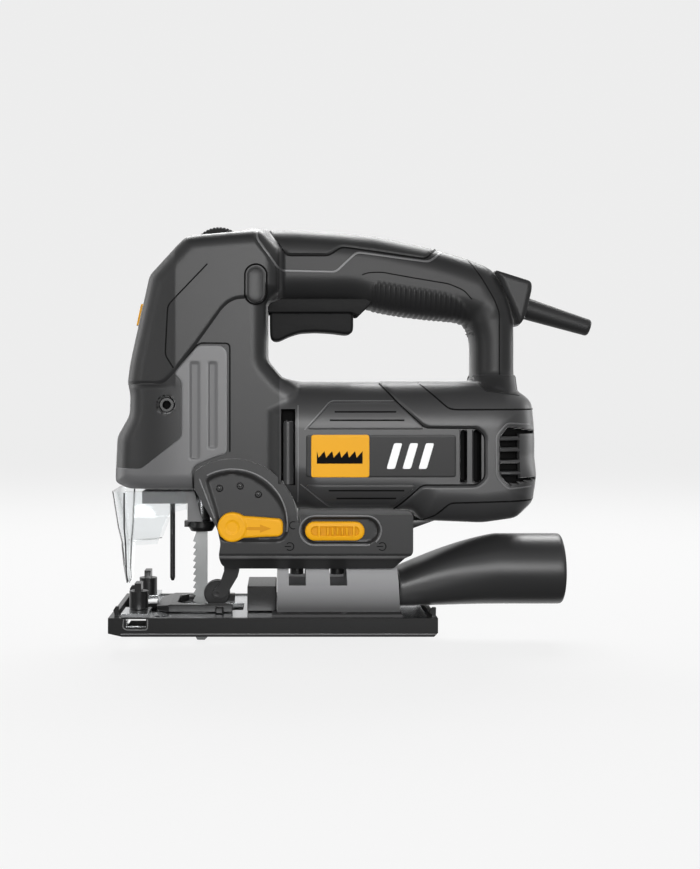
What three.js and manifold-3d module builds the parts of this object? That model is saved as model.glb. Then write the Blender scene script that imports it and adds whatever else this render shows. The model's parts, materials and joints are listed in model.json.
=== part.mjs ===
// Corded jigsaw with a tilting sole, built as an assembly of separate pieces. Millimetres, +Z up.
// +X is the rear (cord and dust port), the blade is at -X, the operator's right hand side is -Y.
// The origin is the middle of the underside of the sole.
import * as THREE from 'three';
import { mergeVertices } from 'three/addons/utils/BufferGeometryUtils.js';
import Module from 'manifold-3d';

const wasm = await Module();
wasm.setup();

// ---------- driving dimensions ----------
const GAP = 0.3; // assembly gap between touching pieces
const RUN = 0.1; // radial clearance of a running fit
const WALL = 3; // housing wall
const SEGS = 32; // facets of a round part

const SOLE_L = 164.8; // sole length
const SOLE_HALF = 38.5; // half of the sole width
const SOLE_H = 9.3; // height of the sole's rim
const PLATE_Z = 8.6; // top face of the metal sole
const SLOT_HALF = 10.5; // half width of the blade opening in the sole
const TILT_Z = 5; // height of the bevel axis
const CRADLE_R = 28; // outer radius of the bevel cradle
const CRADLE_WALL = 2.4;
const SADDLE_DEPTH = 2.8; // how far the lower frame reaches down over the cradle's crown
const SADDLE_PLAY = 0.5; // clearance between the cradle and the saddle over it

const HEAD_HALF = 30; // half width of the head
const MOTOR_HALF = 34; // half width of the motor housing
const HANDLE_HALF = 17.8; // half width of the handle
const FRAME_HALF = 32; // half width of the lower frame

const MOTOR_Z = 91; // height of the motor axis
const GEAR_MODULE = 0.8;
const PINION_TEETH = 15;
const GEAR_TEETH = 60;
const MESH_PLAY = 0.35; // extra distance between the gear centres
const STROKE = 20; // plunger stroke
const ROD_X = -38; // plunger axis
const ROD_R = 5; // plunger radius

const BLADE_BACK = -34.9; // back edge of the blade
const BLADE_W = 6.1; // blade body behind the gullets
const BLADE_T = 1.2;
const TOOTH_PITCH = 3.5;
const TOOTH_H = 1.6;

const ROLLER = [-29.8, 16]; // guide roller centre, X and Z
const ROLLER_R = 6.8;
const ARM_PIVOT = [-22, 42]; // guide arm pivot, X and Z
const ARM_HALF = 4.9; // half width of the guide arm's fork
const ROLLER_HALF = 3.1; // half width of the guide roller

const LEVER_HUB = [-20.4, 54.4]; // orbit lever hub, X and Z
const LEVER_R = 7.4;
const LEVER_L = 25.6;
const ARC_R = 33.5; // outer radius of the lower frame's quadrant
const DIAL = [-28.6, 194.9]; // speed dial centre, X and Z
const DIAL_R = 14.5;
const SCREW_X = -68.7; // fence screws
const SCREW_Y = 23;
const SCREW_R = 4.8;
const PORT_R = 18.5; // outer radius of the dust port
const PORT_GAP = 1.05; // clearance between the dust port and the sole's rim
const PORT_WALL = 2;

const SADDLE_R = CRADLE_R + SADDLE_PLAY; // radius of the saddle
const FRAME_Z = TILT_Z + CRADLE_R - SADDLE_DEPTH; // underside of the lower frame
const SEAT_Z = TILT_Z + CRADLE_R - CRADLE_WALL; // crown of the cradle's inner face
const PORT_Z = SOLE_H + PORT_GAP + PORT_R; // height of the dust port axis
const GEAR_Z = MOTOR_Z + (GEAR_MODULE * (PINION_TEETH + GEAR_TEETH)) / 2 + MESH_PLAY;
const GEAR_X = [-24, -17]; // front and rear face of the drive gear

// ---------- shapes ----------
const group = new THREE.Group();

function solid(geometry) {
  const g = geometry.index ? geometry : geometry.clone();
  g.deleteAttribute('normal');
  g.deleteAttribute('uv');
  const m = mergeVertices(g, 1e-4);
  const made = new wasm.Manifold(new wasm.Mesh({
    numProp: 3,
    vertProperties: new Float32Array(m.attributes.position.array),
    triVerts: new Uint32Array(m.index.array),
  }));
  return made;
}

function add(name, shape, colour, roughness = 0.6, metalness = 0) {
  const m = shape.getMesh();
  const g = new THREE.BufferGeometry();
  g.setAttribute('position', new THREE.BufferAttribute(new Float32Array(m.vertProperties), 3));
  g.setIndex(new THREE.BufferAttribute(new Uint32Array(m.triVerts), 1));
  g.computeVertexNormals();
  const material = new THREE.MeshStandardMaterial({ color: colour, roughness, metalness });
  const mesh = new THREE.Mesh(g, material);
  mesh.name = name;
  group.add(mesh);
}

// Moves every corner of a closed outline inwards by d, along the mitre of its two sides.
function inset(points, d) {
  const area = points.reduce((s, p, i) => {
    const q = points[(i + 1) % points.length];
    return s + p[0] * q[1] - q[0] * p[1];
  }, 0);
  const turn = Math.sign(area);
  return points.map((p, i) => {
    const a = points[(i + points.length - 1) % points.length];
    const b = points[(i + 1) % points.length];
    const u = new THREE.Vector2(p[0] - a[0], p[1] - a[1]).normalize();
    const v = new THREE.Vector2(b[0] - p[0], b[1] - p[1]).normalize();
    const n = new THREE.Vector2(-u.y - v.y, u.x + v.x).multiplyScalar(turn).normalize();
    const c = Math.max(0.4, n.dot(new THREE.Vector2(-u.y, u.x).multiplyScalar(turn)));
    return [p[0] + (n.x * d) / c, p[1] + (n.y * d) / c];
  });
}

function shapeOf(points) {
  return new THREE.Shape(points.map((p) => new THREE.Vector2(p[0], p[1])));
}

function extruded(points, depth) {
  return new THREE.ExtrudeGeometry(shapeOf(points), { depth, bevelEnabled: false, curveSegments: 8 });
}

// Outline in X and Z, pushed from y0 to y1.
function slab(points, y0, y1) {
  return solid(extruded(points, y1 - y0).rotateX(Math.PI / 2).translate(0, y1, 0));
}

// Outline in X and Y, pushed from z0 to z1.
function plate(points, z0, z1) {
  return solid(extruded(points, z1 - z0).translate(0, 0, z0));
}

// Outline in Y and Z, pushed from x0 to x1.
function rail(points, x0, x1) {
  const turn = new THREE.Matrix4().makeBasis(
    new THREE.Vector3(0, 1, 0), new THREE.Vector3(0, 0, 1), new THREE.Vector3(1, 0, 0));
  return solid(extruded(points, x1 - x0).applyMatrix4(turn).translate(x0, 0, 0));
}

function box(x0, x1, y0, y1, z0, z1) {
  const g = new THREE.BoxGeometry(x1 - x0, y1 - y0, z1 - z0);
  return solid(g.translate((x0 + x1) / 2, (y0 + y1) / 2, (z0 + z1) / 2));
}

// Round bar along 'x', 'y' or 'z' from a to b, whose axis passes the two other coordinates in c.
function bar(axis, r, a, b, c, r2 = r, segs = SEGS) {
  const g = new THREE.CylinderGeometry(r2, r, b - a, segs).translate(0, (a + b) / 2, 0);
  if (axis === 'x') g.rotateZ(-Math.PI / 2).translate(0, c[0], c[1]);
  if (axis === 'y') g.translate(c[0], 0, c[1]);
  if (axis === 'z') g.rotateX(Math.PI / 2).translate(c[0], c[1], 0);
  return solid(g);
}

function ring(axis, r, bore, a, b, c, segs = SEGS) {
  return bar(axis, r, a, b, c, r, segs).subtract(bar(axis, bore, a - 1, b + 1, c, bore, segs));
}

// Outline in X and Z pushed both ways to half, with its long edges rounded by round.
function pad(points, half, round, wall = 0) {
  const g = new THREE.ExtrudeGeometry(shapeOf(inset(points, wall)), {
    depth: 2 * (half - wall - round),
    bevelEnabled: true,
    bevelThickness: round,
    bevelSize: round * 0.8,
    bevelOffset: -round * 0.8,
    bevelSegments: 3,
    curveSegments: 4,
  });
  return solid(g.translate(0, 0, -(half - wall - round)).rotateX(Math.PI / 2));
}

// Points of an arc about (cx, cz), angles in degrees.
function arc(cx, cz, r, from, to, steps) {
  return Array.from({ length: steps + 1 }, (_, i) => {
    const t = THREE.MathUtils.degToRad(from + ((to - from) * i) / steps);
    return [cx + r * Math.cos(t), cz + r * Math.sin(t)];
  });
}

// A long hole or a bar with round ends between (x0, z) and (x1, z).
function stadium(x0, x1, z, r) {
  return [...arc(x1 - r, z, r, -90, 90, 10), ...arc(x0 + r, z, r, 90, 270, 10)];
}

function spur(teeth, x0, x1, y, z, phase) {
  const rp = (GEAR_MODULE * teeth) / 2;
  const pitch = 360 / teeth;
  const root = rp - 1.15 * GEAR_MODULE;
  const tip = rp + 0.75 * GEAR_MODULE;
  const points = [];
  for (let i = 0; i < teeth; i++) {
    for (const [r, a] of [[root, -0.3], [tip, -0.12], [tip, 0.12], [root, 0.3]]) {
      const t = THREE.MathUtils.degToRad(phase + (i + a) * pitch);
      points.push([y + r * Math.cos(t), z + r * Math.sin(t)]);
    }
  }
  return rail(points, x0, x1);
}

// ---------- outlines of the housing, in X and Z ----------
const HEAD = [
  [-42.9, 71.6], [-75, 71.6], [-82.8, 74.8], [-82.7, 81.5], [-81.9, 99.1], [-75.2, 110.5],
  [-75.2, 121.1], [-77, 126], [-75.2, 137.8], [-65.5, 183], [-48.8, 200.6], [-45.3, 203.7],
  [-39.2, 205.5], [-20.3, 207.6], [-6, 207.6], [4, 192], [4, 174], [-2.6, 169], [-2.6, 138.6],
  [5.6, 129.1], [9, 127.7], [14, 124], [14, 71.6],
];
const HANDLE = [
  [-14, 207.6], [10, 208], [35.3, 206.3], [52.9, 204.6], [85.8, 197.5], [101.2, 192.7],
  [114.8, 187.4], [122, 176], [126.2, 160], [114, 152], [99.4, 158.9], [75, 161.2], [55.4, 164.1],
  [40, 169.2], [-14, 169.2],
];
const LEG = [[103.9, 116], [103.9, 150], [100, 166], [110, 176], [121, 176], [126.2, 160], [126.5, 150],
  [126.5, 116]];
const MOTOR = [
  [-12, 63.5], [-12, 120], [6, 127.7], [112, 127.7], [122, 126], [131.5, 121], [135.9, 116.7],
  [137.7, 104.4], [138.6, 95.2], [137.5, 78], [135.4, 65.1], [125.8, 56.3], [107.4, 53.8],
  [74.8, 55.4], [71.4, 61.3], [0, 61.3],
];
const TOP_GRIP = [[-1.8, 212], [-1.8, 205.5], [7, 194.3], [29.4, 194.3], [36.2, 199.1], [80.3, 192.5],
  [86, 197.6], [86, 212]];
const UNDER_GRIP = [[50, 154], [50, 172], [56, 177.5], [76, 176], [96, 172], [101.5, 166], [101.5, 150]];
const PANEL = [[-49.3, 132.8], [-38, 145.8], [-25.8, 145.8], [-22.9, 143], [-22.9, 92.5], [-40.5, 92.5],
  [-49.3, 100]];
const BOOT = [[116.4, 185.9], [134.6, 180.4], [135.3, 175.6], [131.9, 161.5], [127.3, 155.8],
  [126.2, 160], [122, 176]];
const FRAME_SIDE = [
  ...arc(LEVER_HUB[0], LEVER_HUB[1] + 1.3, ARC_R, 0, 120, 16), [-40.4, 82.2], [-40.4, 73],
  [-28.8, 52.9], [-27.2, 45.2], [-28.4, 36.7], [-27.2, 32.6], [-24, FRAME_Z], [62.5, FRAME_Z], [70.8, 40.6],
  [70.8, 61], [13.1, 61],
];

// Everything of the head narrower than the plan of its nose.
function nosePlan(extra) {
  const half = [[-90, 13.5], [-82.8, 18], [-76, 24], [-62, 28.4], [-49, 31], [20, 31]];
  const upper = half.map(([x, y]) => [x + extra, y - extra]);
  return plate([...upper, ...upper.map(([x, y]) => [x, -y]).reverse()], 60, 215);
}

const headOuter = () => pad(HEAD, HEAD_HALF, 8).intersect(nosePlan(0));
const headInner = () => pad(HEAD, HEAD_HALF, 6, WALL).intersect(nosePlan(WALL));
const handleOuter = (wall = 0) => pad(HANDLE, HANDLE_HALF, 9, wall).add(pad(LEG, HANDLE_HALF, 9, wall));
const handleInner = () => pad(HANDLE, HANDLE_HALF, 7, WALL).add(pad(LEG, HANDLE_HALF, 7, WALL));
const motorOuter = () => pad(MOTOR, MOTOR_HALF, 13);
const motorInner = () => pad(MOTOR, MOTOR_HALF, 11, WALL);

// ---------- housing halves ----------
function housing() {
  let s = headOuter().add(handleOuter()).add(motorOuter());
  const cavity = headInner().add(handleInner()).add(motorInner());
  s = s.subtract(cavity);
  // seat of the lower frame, with its quadrant in the flank of the head
  s = s.subtract(slab(inset(FRAME_SIDE, -GAP), -60, 60));
  // openings for the plunger, the trigger, the speed dial and the screw
  s = s.subtract(bar('z', 9, 60, 80, [ROD_X, 0]));
  s = s.subtract(box(-3, 43.3, -10.6, 10.6, 160, 178));
  s = s.subtract(slab(arc(DIAL[0], DIAL[1], DIAL_R + 0.6, 0, 360, SEGS).slice(1), -4.6, 4.6));
  s = s.subtract(bar('y', 4.2, -60, -20, [-54.2, 115.7], 4.2, 24));
  s = s.subtract(bar('y', 2.2, -60, 0, [-54.2, 115.7], 2.2, 24));
  s = s.add(screwBoss());
  // lock button guide on the right flank
  s = s.subtract(slab(lockOutline(0.4), -60, -15));
  // seats of the side panels, label plates, grips and cord boot
  for (const side of [-1, 1]) {
    s = s.subtract(both(PANEL, -GAP, HEAD_HALF - 1.6, 60, side));
    s = s.subtract(both(LABEL, -GAP, MOTOR_HALF - 1.2, 60, side));
    for (const x of VENT_X) {
      s = s.subtract(both(ventOutline(x), 0, MOTOR_HALF - 5, 60, side));
    }
    for (const z of GRILLE_Z) {
      s = s.subtract(both([[114, z - 2], [131, z - 2], [131, z + 2], [114, z + 2]], 0, 20, 60, side));
    }
  }
  s = s.subtract(skin(2.2).intersect(slab(inset(TOP_GRIP, -GAP), -30, 30)));
  s = s.subtract(skin(2.2).intersect(slab(inset(UNDER_GRIP, -GAP), -30, 30)));
  s = s.subtract(slab(inset(BOOT, -GAP), -14.3, 14.3));
  s = s.subtract(slab([[-90, 156.6], [-60, 156.6], [-60, 168.6], [-90, 168.6]], -9.3, 9.3)
    .subtract(slab(inset(HEAD, 1.0), -20, 20)));
  return s;
}

// The outer layer of the handle, to a given depth.
function skin(depth) {
  return box(-30, 130, -25, 25, 140, 220).subtract(handleOuter(depth));
}

function both(points, grow, y0, y1, side) {
  const o = inset(points, grow);
  return side < 0 ? slab(o, -y1, -y0) : slab(o, y0, y1);
}

const LABEL = [[16.6, 79.2], [91.7, 79.2], [91.7, 100.8], [16.6, 100.8]];
const VENT_X = [94.2, 100.4];
const GRILLE_Z = [78.2, 84.2, 90.1, 96, 102];
function ventOutline(x) {
  return [[x, 77], [x + 3.3, 77], [x + 3.3, 103.2], [x, 103.2]];
}

function lockOutline(grow) {
  const r = 5 + grow;
  return [...arc(-8.7, 181.2, r, 0, 180, 10), ...arc(-8.7, 172.2, r, 180, 360, 10)];
}

// Hollow post that carries the housing screw, joined to both flanks of the nose.
function screwBoss() {
  const post = bar('y', 6.2, -29, 29, [-54.2, 115.7], 6.2, 24).intersect(headOuter());
  return post
    .subtract(bar('y', 4.2, -60, -20, [-54.2, 115.7], 4.2, 24))
    .subtract(bar('y', 2.2, -60, 22, [-54.2, 115.7], 2.2, 24));
}

function largest(shape) {
  return shape.decompose().sort((a, b) => b.volume() - a.volume())[0];
}

function housingHalves() {
  const s = housing();
  const right = s.intersect(box(-200, 200, -100, -GAP / 2, 0, 300));
  const left = s.subtract(slab(lockOutline(-4), -60, 0)).intersect(box(-200, 200, GAP / 2, 100, 0, 300));
  add('housing_right', largest(right), 0x48484b, 0.62);
  add('housing_left', largest(left), 0x48484b, 0.62);
}

function grips() {
  const layer = handleOuter().subtract(handleOuter(1.9));
  add('top_grip', largest(layer.intersect(slab(TOP_GRIP, -30, 30))), 0x3f3f42, 0.85);
  add('under_grip', largest(layer.intersect(slab(UNDER_GRIP, -30, 30))), 0x2c2c2e, 0.9);
}

function sidePieces() {
  for (const [side, word] of [[-1, 'right'], [1, 'left']]) {
    let panel = both(PANEL, 0, HEAD_HALF - 1.3, HEAD_HALF + 0.6, side);
    for (const x of [-41.5, -37, -32.7, -28.4]) {
      const groove = [[x - 0.6, 95], [x + 0.6, 95], [x + 0.6, 137], [x - 0.6, 137]];
      panel = panel.subtract(both(groove, 0, HEAD_HALF - 0.2, 60, side));
    }
    panel = panel.intersect(nosePlan(-0.8));
    add('side_panel_' + word, largest(panel), 0x77777b, 0.6);
    add('label_plate_' + word, both(LABEL, 0, MOTOR_HALF - 0.9, MOTOR_HALF + 0.2, side), 0x3a383b, 0.45);
  }
  const badge = slab(inset(HEAD, -0.5), -9, 9).subtract(slab(inset(HEAD, 0.7), -10, 10))
    .intersect(box(-90, -60, -9, 9, 157, 168.2));
  add('front_badge', largest(badge), 0xeeb026, 0.45);
}

// ---------- lower frame ----------
function lowerFrame() {
  let s = slab(FRAME_SIDE, -FRAME_HALF, FRAME_HALF);
  // lower corners chamfered along the length
  for (const side of [-1, 1]) {
    s = s.subtract(rail([[15.4, FRAME_Z], [22, 36.8], [32.5, 39.8], [32.5, 20], [15.4, 20]]
      .map(([y, z]) => [side * y, z]), -60, 90));
  }
  // saddle over the cradle
  s = s.subtract(bar('x', SADDLE_R, -40, 90, [0, TILT_Z], SADDLE_R, 96));
  // pockets that lighten it, open to the housing above
  s = s.subtract(box(12.5, 66, -26, 26, 46, 70));
  // way for the plunger and its collar
  s = s.subtract(box(-60, -28.6, -12.5, 12.5, 30, 100));
  s = s.subtract(bar('z', 9.6, 30, 100, [ROD_X, 0]));
  // room for the gear plate, drive gear and armature
  s = s.subtract(box(-28.7, 12.6, -26, 26, 60, 100));
  // fork pocket with the guide arm's pivot across it
  s = s.subtract(box(-40, -13.5, -ARM_HALF - 0.4, ARM_HALF + 0.4, 20, 52));
  s = s.add(bar('y', 2, -6, 6, ARM_PIVOT, 2, 24));
  // bevel bolt holes
  for (const x of BOLT_X) s = s.subtract(bar('z', 2.3, 20, 50, [x, 0], 2.3, 24));
  // orbit lever spindle hole, and the slot of the blower slider
  s = s.subtract(bar('y', 3.2, -60, -24, LEVER_HUB, 3.2, 24));
  s = s.subtract(slab(stadium(15.2, 52.4, 52.2, 5.7), -60, -FRAME_HALF + 2));
  return s;
}
const BOLT_X = [12.4, 33.6];

// ---------- drive ----------
function drive() {
  const a = [0, MOTOR_Z];
  const steel = [0xb4b6b8, 0.3, 0.9];
  // gear plate across the head, with the front bearing seat and the gear's axle seat
  let gp = rail([[-25.5, 74], [25.5, 74], [25.5, 150], [-25.5, 150]], -12.5, -8.5);
  gp = gp.add(bar('x', 12.5, -13.5, -4.5, a)).subtract(bar('x', 9.5 + GAP / 2, -11.5, 0, a));
  gp = gp.subtract(bar('x', 5.5, -20, 0, a)).subtract(bar('x', 4 + RUN, -20, 0, [0, GEAR_Z]));
  add('gear_plate', gp, 0xa9abad, 0.45, 0.7);
  add('gear_axle', bar('x', 4, -24, -7.5, [0, GEAR_Z]), ...steel);
  add('front_bearing', ring('x', 9.5, 4 + RUN, -11.2, -5, a), ...steel);
  add('rear_bearing', ring('x', 9.5, 4 + RUN, 118, 125, a), ...steel);
  // stator: laminated ring with two slots where the winding passes
  let core = ring('x', 26.2, 18.2, 42, 82, a);
  const bars = box(38, 86, -5, 5, 0, 300).intersect(ring('x', 23.3, 19.9, 36, 88, a));
  const slots = box(38, 90, -5.3, 5.3, 0, 300).intersect(ring('x', 23.6, 19.6, 30, 90, a));
  core = core.subtract(slots);
  const coil = ring('x', 24.5, 19.4, 34, 41.7, a).add(ring('x', 24.5, 19.4, 82.3, 90, a)).add(bars);
  add('stator_core', core, 0x8c8e90, 0.5, 0.6);
  add('stator_winding', coil, 0xa35b2c, 0.4, 0.6);
  // armature
  add('armature_shaft', bar('x', 4, -24.5, 127, a), ...steel);
  add('armature_core', ring('x', 17.5, 4 + RUN, 43, 81, a), 0x8c8e90, 0.5, 0.6);
  add('commutator', ring('x', 11, 4 + RUN, 94, 106, a), 0xb07038, 0.35, 0.8);
  add('cooling_fan', fan(), 0x1d1d1f, 0.7);
  add('pinion', spur(PINION_TEETH, GEAR_X[0] + 0.2, GEAR_X[1] - 0.2, 0, MOTOR_Z, 90)
    .subtract(bar('x', 4 + RUN, -30, 0, a, 4 + RUN, 24)), ...steel);
  // drive gear, and the crank pin pressed in its face
  const c = [0, GEAR_Z];
  let gear = spur(GEAR_TEETH, GEAR_X[0], GEAR_X[1], 0, GEAR_Z, -90 + 180 / GEAR_TEETH);
  gear = gear.subtract(bar('x', 4 + RUN, -30, 0, c)).subtract(bar('x', 2.3, -30, 0, [0, GEAR_Z + STROKE / 2]));
  for (let i = 0; i < 5; i++) {
    const t = THREE.MathUtils.degToRad(-90 + (i - 2) * 45);
    gear = gear.subtract(bar('x', 4, -30, 0, [14 * Math.cos(t), GEAR_Z + 14 * Math.sin(t)], 4, 24));
  }
  add('drive_gear', gear, 0x9b9da0, 0.4, 0.9);
  add('crank_pin', bar('x', 2.2, -26.3, -17.5, [0, GEAR_Z + STROKE / 2], 2.2, 24), ...steel);
  // carbon brushes, one each side of the commutator
  for (const [side, word] of [[-1, 'right'], [1, 'left']]) {
    const [y0, y1] = side < 0 ? [-27, -11.4] : [11.4, 27];
    add('brush_' + word, box(96.5, 103.5, y0, y1, MOTOR_Z - 3.5, MOTOR_Z + 3.5), 0x2a2a2c, 0.8);
  }
}

function fan() {
  let s = ring('x', 9, 4 + RUN, 20, 31, [0, MOTOR_Z]).add(ring('x', 26, 8, 29, 31, [0, MOTOR_Z]));
  for (let i = 0; i < 9; i++) {
    const blade = box(21, 29.5, -0.8, 0.8, MOTOR_Z + 8.5, MOTOR_Z + 25);
    s = s.add(blade.translate(0, 0, -MOTOR_Z).rotate(i * 40, 0, 0).translate(0, 0, MOTOR_Z));
  }
  return s;
}

// ---------- plunger, blade and clamp ----------
function plunger() {
  const c = [ROD_X, 0];
  const yokeZ = GEAR_Z + STROKE / 2;
  let rod = bar('z', 4.6, 49.6, 62, c).add(bar('z', ROD_R, 61.5, 176, c));
  rod = rod.subtract(box(-41.5, -34.5, -0.95, 0.95, 49, 59.5));
  add('plunger_rod', rod, 0xb4b6b8, 0.28, 0.9);
  let yoke = box(-45, -26.9, -17, 17, yokeZ - 7, yokeZ + 7).subtract(bar('z', ROD_R + GAP, 100, 160, c));
  yoke = yoke.subtract(box(-31, -20, -13.2, 13.2, yokeZ - 2.6, yokeZ + 2.6));
  add('scotch_yoke', yoke, 0x8f9194, 0.4, 0.8);
  for (const [word, z] of [['lower', 84], ['upper', 146]]) {
    add('plunger_bush_' + word, ring('z', 9, ROD_R + RUN, z, z + 9, c), 0xb58a46, 0.4, 0.8);
  }
  add('blade', blade(), 0x919393, 0.35, 0.8);
  // clamp collar with a thumb tab
  let collar = bar('z', 5.7, 48.8, 51, c, 7).add(bar('z', 7, 51, 54.2, c));
  collar = collar.add(box(-47, ROD_X, -2.6, 2.6, 51, 54.2)).subtract(bar('z', 4.6 + GAP, 40, 60, c));
  add('blade_clamp_collar', collar, 0x222123, 0.6);
}

function blade() {
  const front = BLADE_BACK - BLADE_W;
  const points = [[BLADE_BACK, 59], [BLADE_BACK, -7.5], [-36.3, -9], [-40.2, -9], [front, -7.8]];
  for (let z = -3; z < 46; z += TOOTH_PITCH) points.push([front, z], [front - TOOTH_H, z + 0.7]);
  points.push([front, 47.6], [front, 59]);
  return slab(points, -BLADE_T / 2, BLADE_T / 2);
}

// ---------- front of the machine ----------
function front() {
  add('finger_guard_rod', bar('z', 1.35, 24, 64, [-53.4, 0], 1.35, 24)
    .add(bar('z', 0.7, 22.4, 24, [-53.4, 0], 1.35, 24)), 0x151516, 0.4);
  let bracket = box(-68, -44, -14, 14, 64.4, 70.6);
  for (const [y0, y1] of [[-14, -11], [11, 14]]) {
    bracket = bracket.add(slab([[-44.5, 70.6], [-41, 70.6], [-36.7, 55], [-44.5, 55]], y0, y1));
  }
  bracket = bracket.subtract(bar('z', 1.65, 60, 69, [-53.4, 0], 1.65, 24));
  add('head_bracket', bracket.subtract(box(-50, -30, -9.5, 9.5, 50, 80)), 0x6c6c6f, 0.5);
  add('clear_guard', clearGuard(), 0xdfe6ea, 0.15);
}

// A U-shaped shield: a full width skirt under the nose and a narrow front tongue below it,
// which passes between the fence screws when the sole tilts.
function clearGuard() {
  const side = [[-83, 71.2], [-79.6, 45], [-78.7, 31], [-77, 20], [-75.4, 20], [-75.2, 30], [-75, 42.5],
    [-60.2, 42.5], [-57, 52.5], [-53.5, 60], [-44.5, 62], [-44.5, 71.2]];
  const wide = [[-24, 71.5], [-20, 52], [-12.5, 42], [-8, 20], [8, 20], [12.5, 42], [20, 52], [24, 71.5]];
  const t = 1.5;
  const outer = slab(side, -30, 30).intersect(rail(wide, -90, -30));
  const inside = [[-84 + t, 80], [-83 + t, 71.2], [-79.6 + t, 45], [-78.7 + t, 31], [-77 + t, 18],
    [-20, 18], [-20, 80]];
  const thin = [[-24 + t, 90], [-24 + t, 71.5], [-20 + t, 52], [-12.5 + t, 42], [-8 + t, 10],
    [8 - t, 10], [12.5 - t, 42], [20 - t, 52], [24 - t, 71.5], [24 - t, 90]];
  return largest(outer.subtract(slab(inside, -30, 30).intersect(rail(thin, -90, 0))));
}

// ---------- tilting base ----------
function base() {
  const x0 = -82.4;
  const x1 = x0 + SOLE_L;
  const opening = [[-79, -18], [-60, -18], [-60, -SLOT_HALF], [-16, -SLOT_HALF], [-16, SLOT_HALF],
    [-60, SLOT_HALF], [-60, 18], [-79, 18]];
  const cut = plate(opening, -5, 30);
  const fence = box(-73.6, -63.4, -60, 60, 4.6, 8.8);
  // overshoe: a tray under and around the metal sole
  let tray = slab([[x0 + 7, 0], [x1 - 2, 0], [x1, 2], [x1, SOLE_H], [x0, SOLE_H], [x0, 1.6]], -SOLE_HALF, SOLE_HALF);
  tray = tray.subtract(box(x0 + 2.5, x1 - 2.5, -SOLE_HALF + 2.3, SOLE_HALF - 2.3, 3, 30));
  tray = tray.add(plate([[-79, -20], [-60, -20], [-60, -12.5], [-14, -12.5], [-14, 12.5], [-60, 12.5],
    [-60, 20], [-79, 20]], 0, 3)).subtract(cut).subtract(fence);
  for (const y of [-35.2, 33]) {
    tray = tray.add(slab([[79, 2], [81.6, 2], [81.8, 14], [80, 14], [78.4, 12], [79.6, 10.6]], y, y + 2.2));
    tray = tray.add(slab([[-79.6, 2], [-77.8, 2], [-77.4, 14.6], [-79, 14.6], [-80.2, 12.6], [-79.6, 11]], y, y + 2.2));
  }
  tray = tray.intersect(box(-100, 100, -SOLE_HALF, SOLE_HALF, 0, 20));
  add('overshoe', largest(tray), 0x262427, 0.35);
  // metal sole, a pressed tray turned upside down
  let sole = box(-76.6, 78, -35.9, 35.9, 3.3, PLATE_Z).subtract(box(-74.6, 76, -33.9, 33.9, 0, PLATE_Z - 2.4));
  sole = sole.subtract(plate(inset(opening, -GAP), -5, 30)).subtract(box(-90, -76.9, -60, 60, 0, 30));
  sole = sole.subtract(box(-80, -74, -36, -30.5, 0, 20)).subtract(box(-80, -74, 30.5, 36, 0, 20));
  sole = sole.subtract(fence.add(box(-73.6, -63.4, -60, 60, 8, 20)));
  for (const y of [-29, 29]) sole = sole.subtract(bar('z', 3.2, 0, 20, [-57, y], 3.2, 24));
  add('sole_plate', largest(sole), 0xc9cbcd, 0.3, 0.9);
  baseTop();
}

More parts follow.
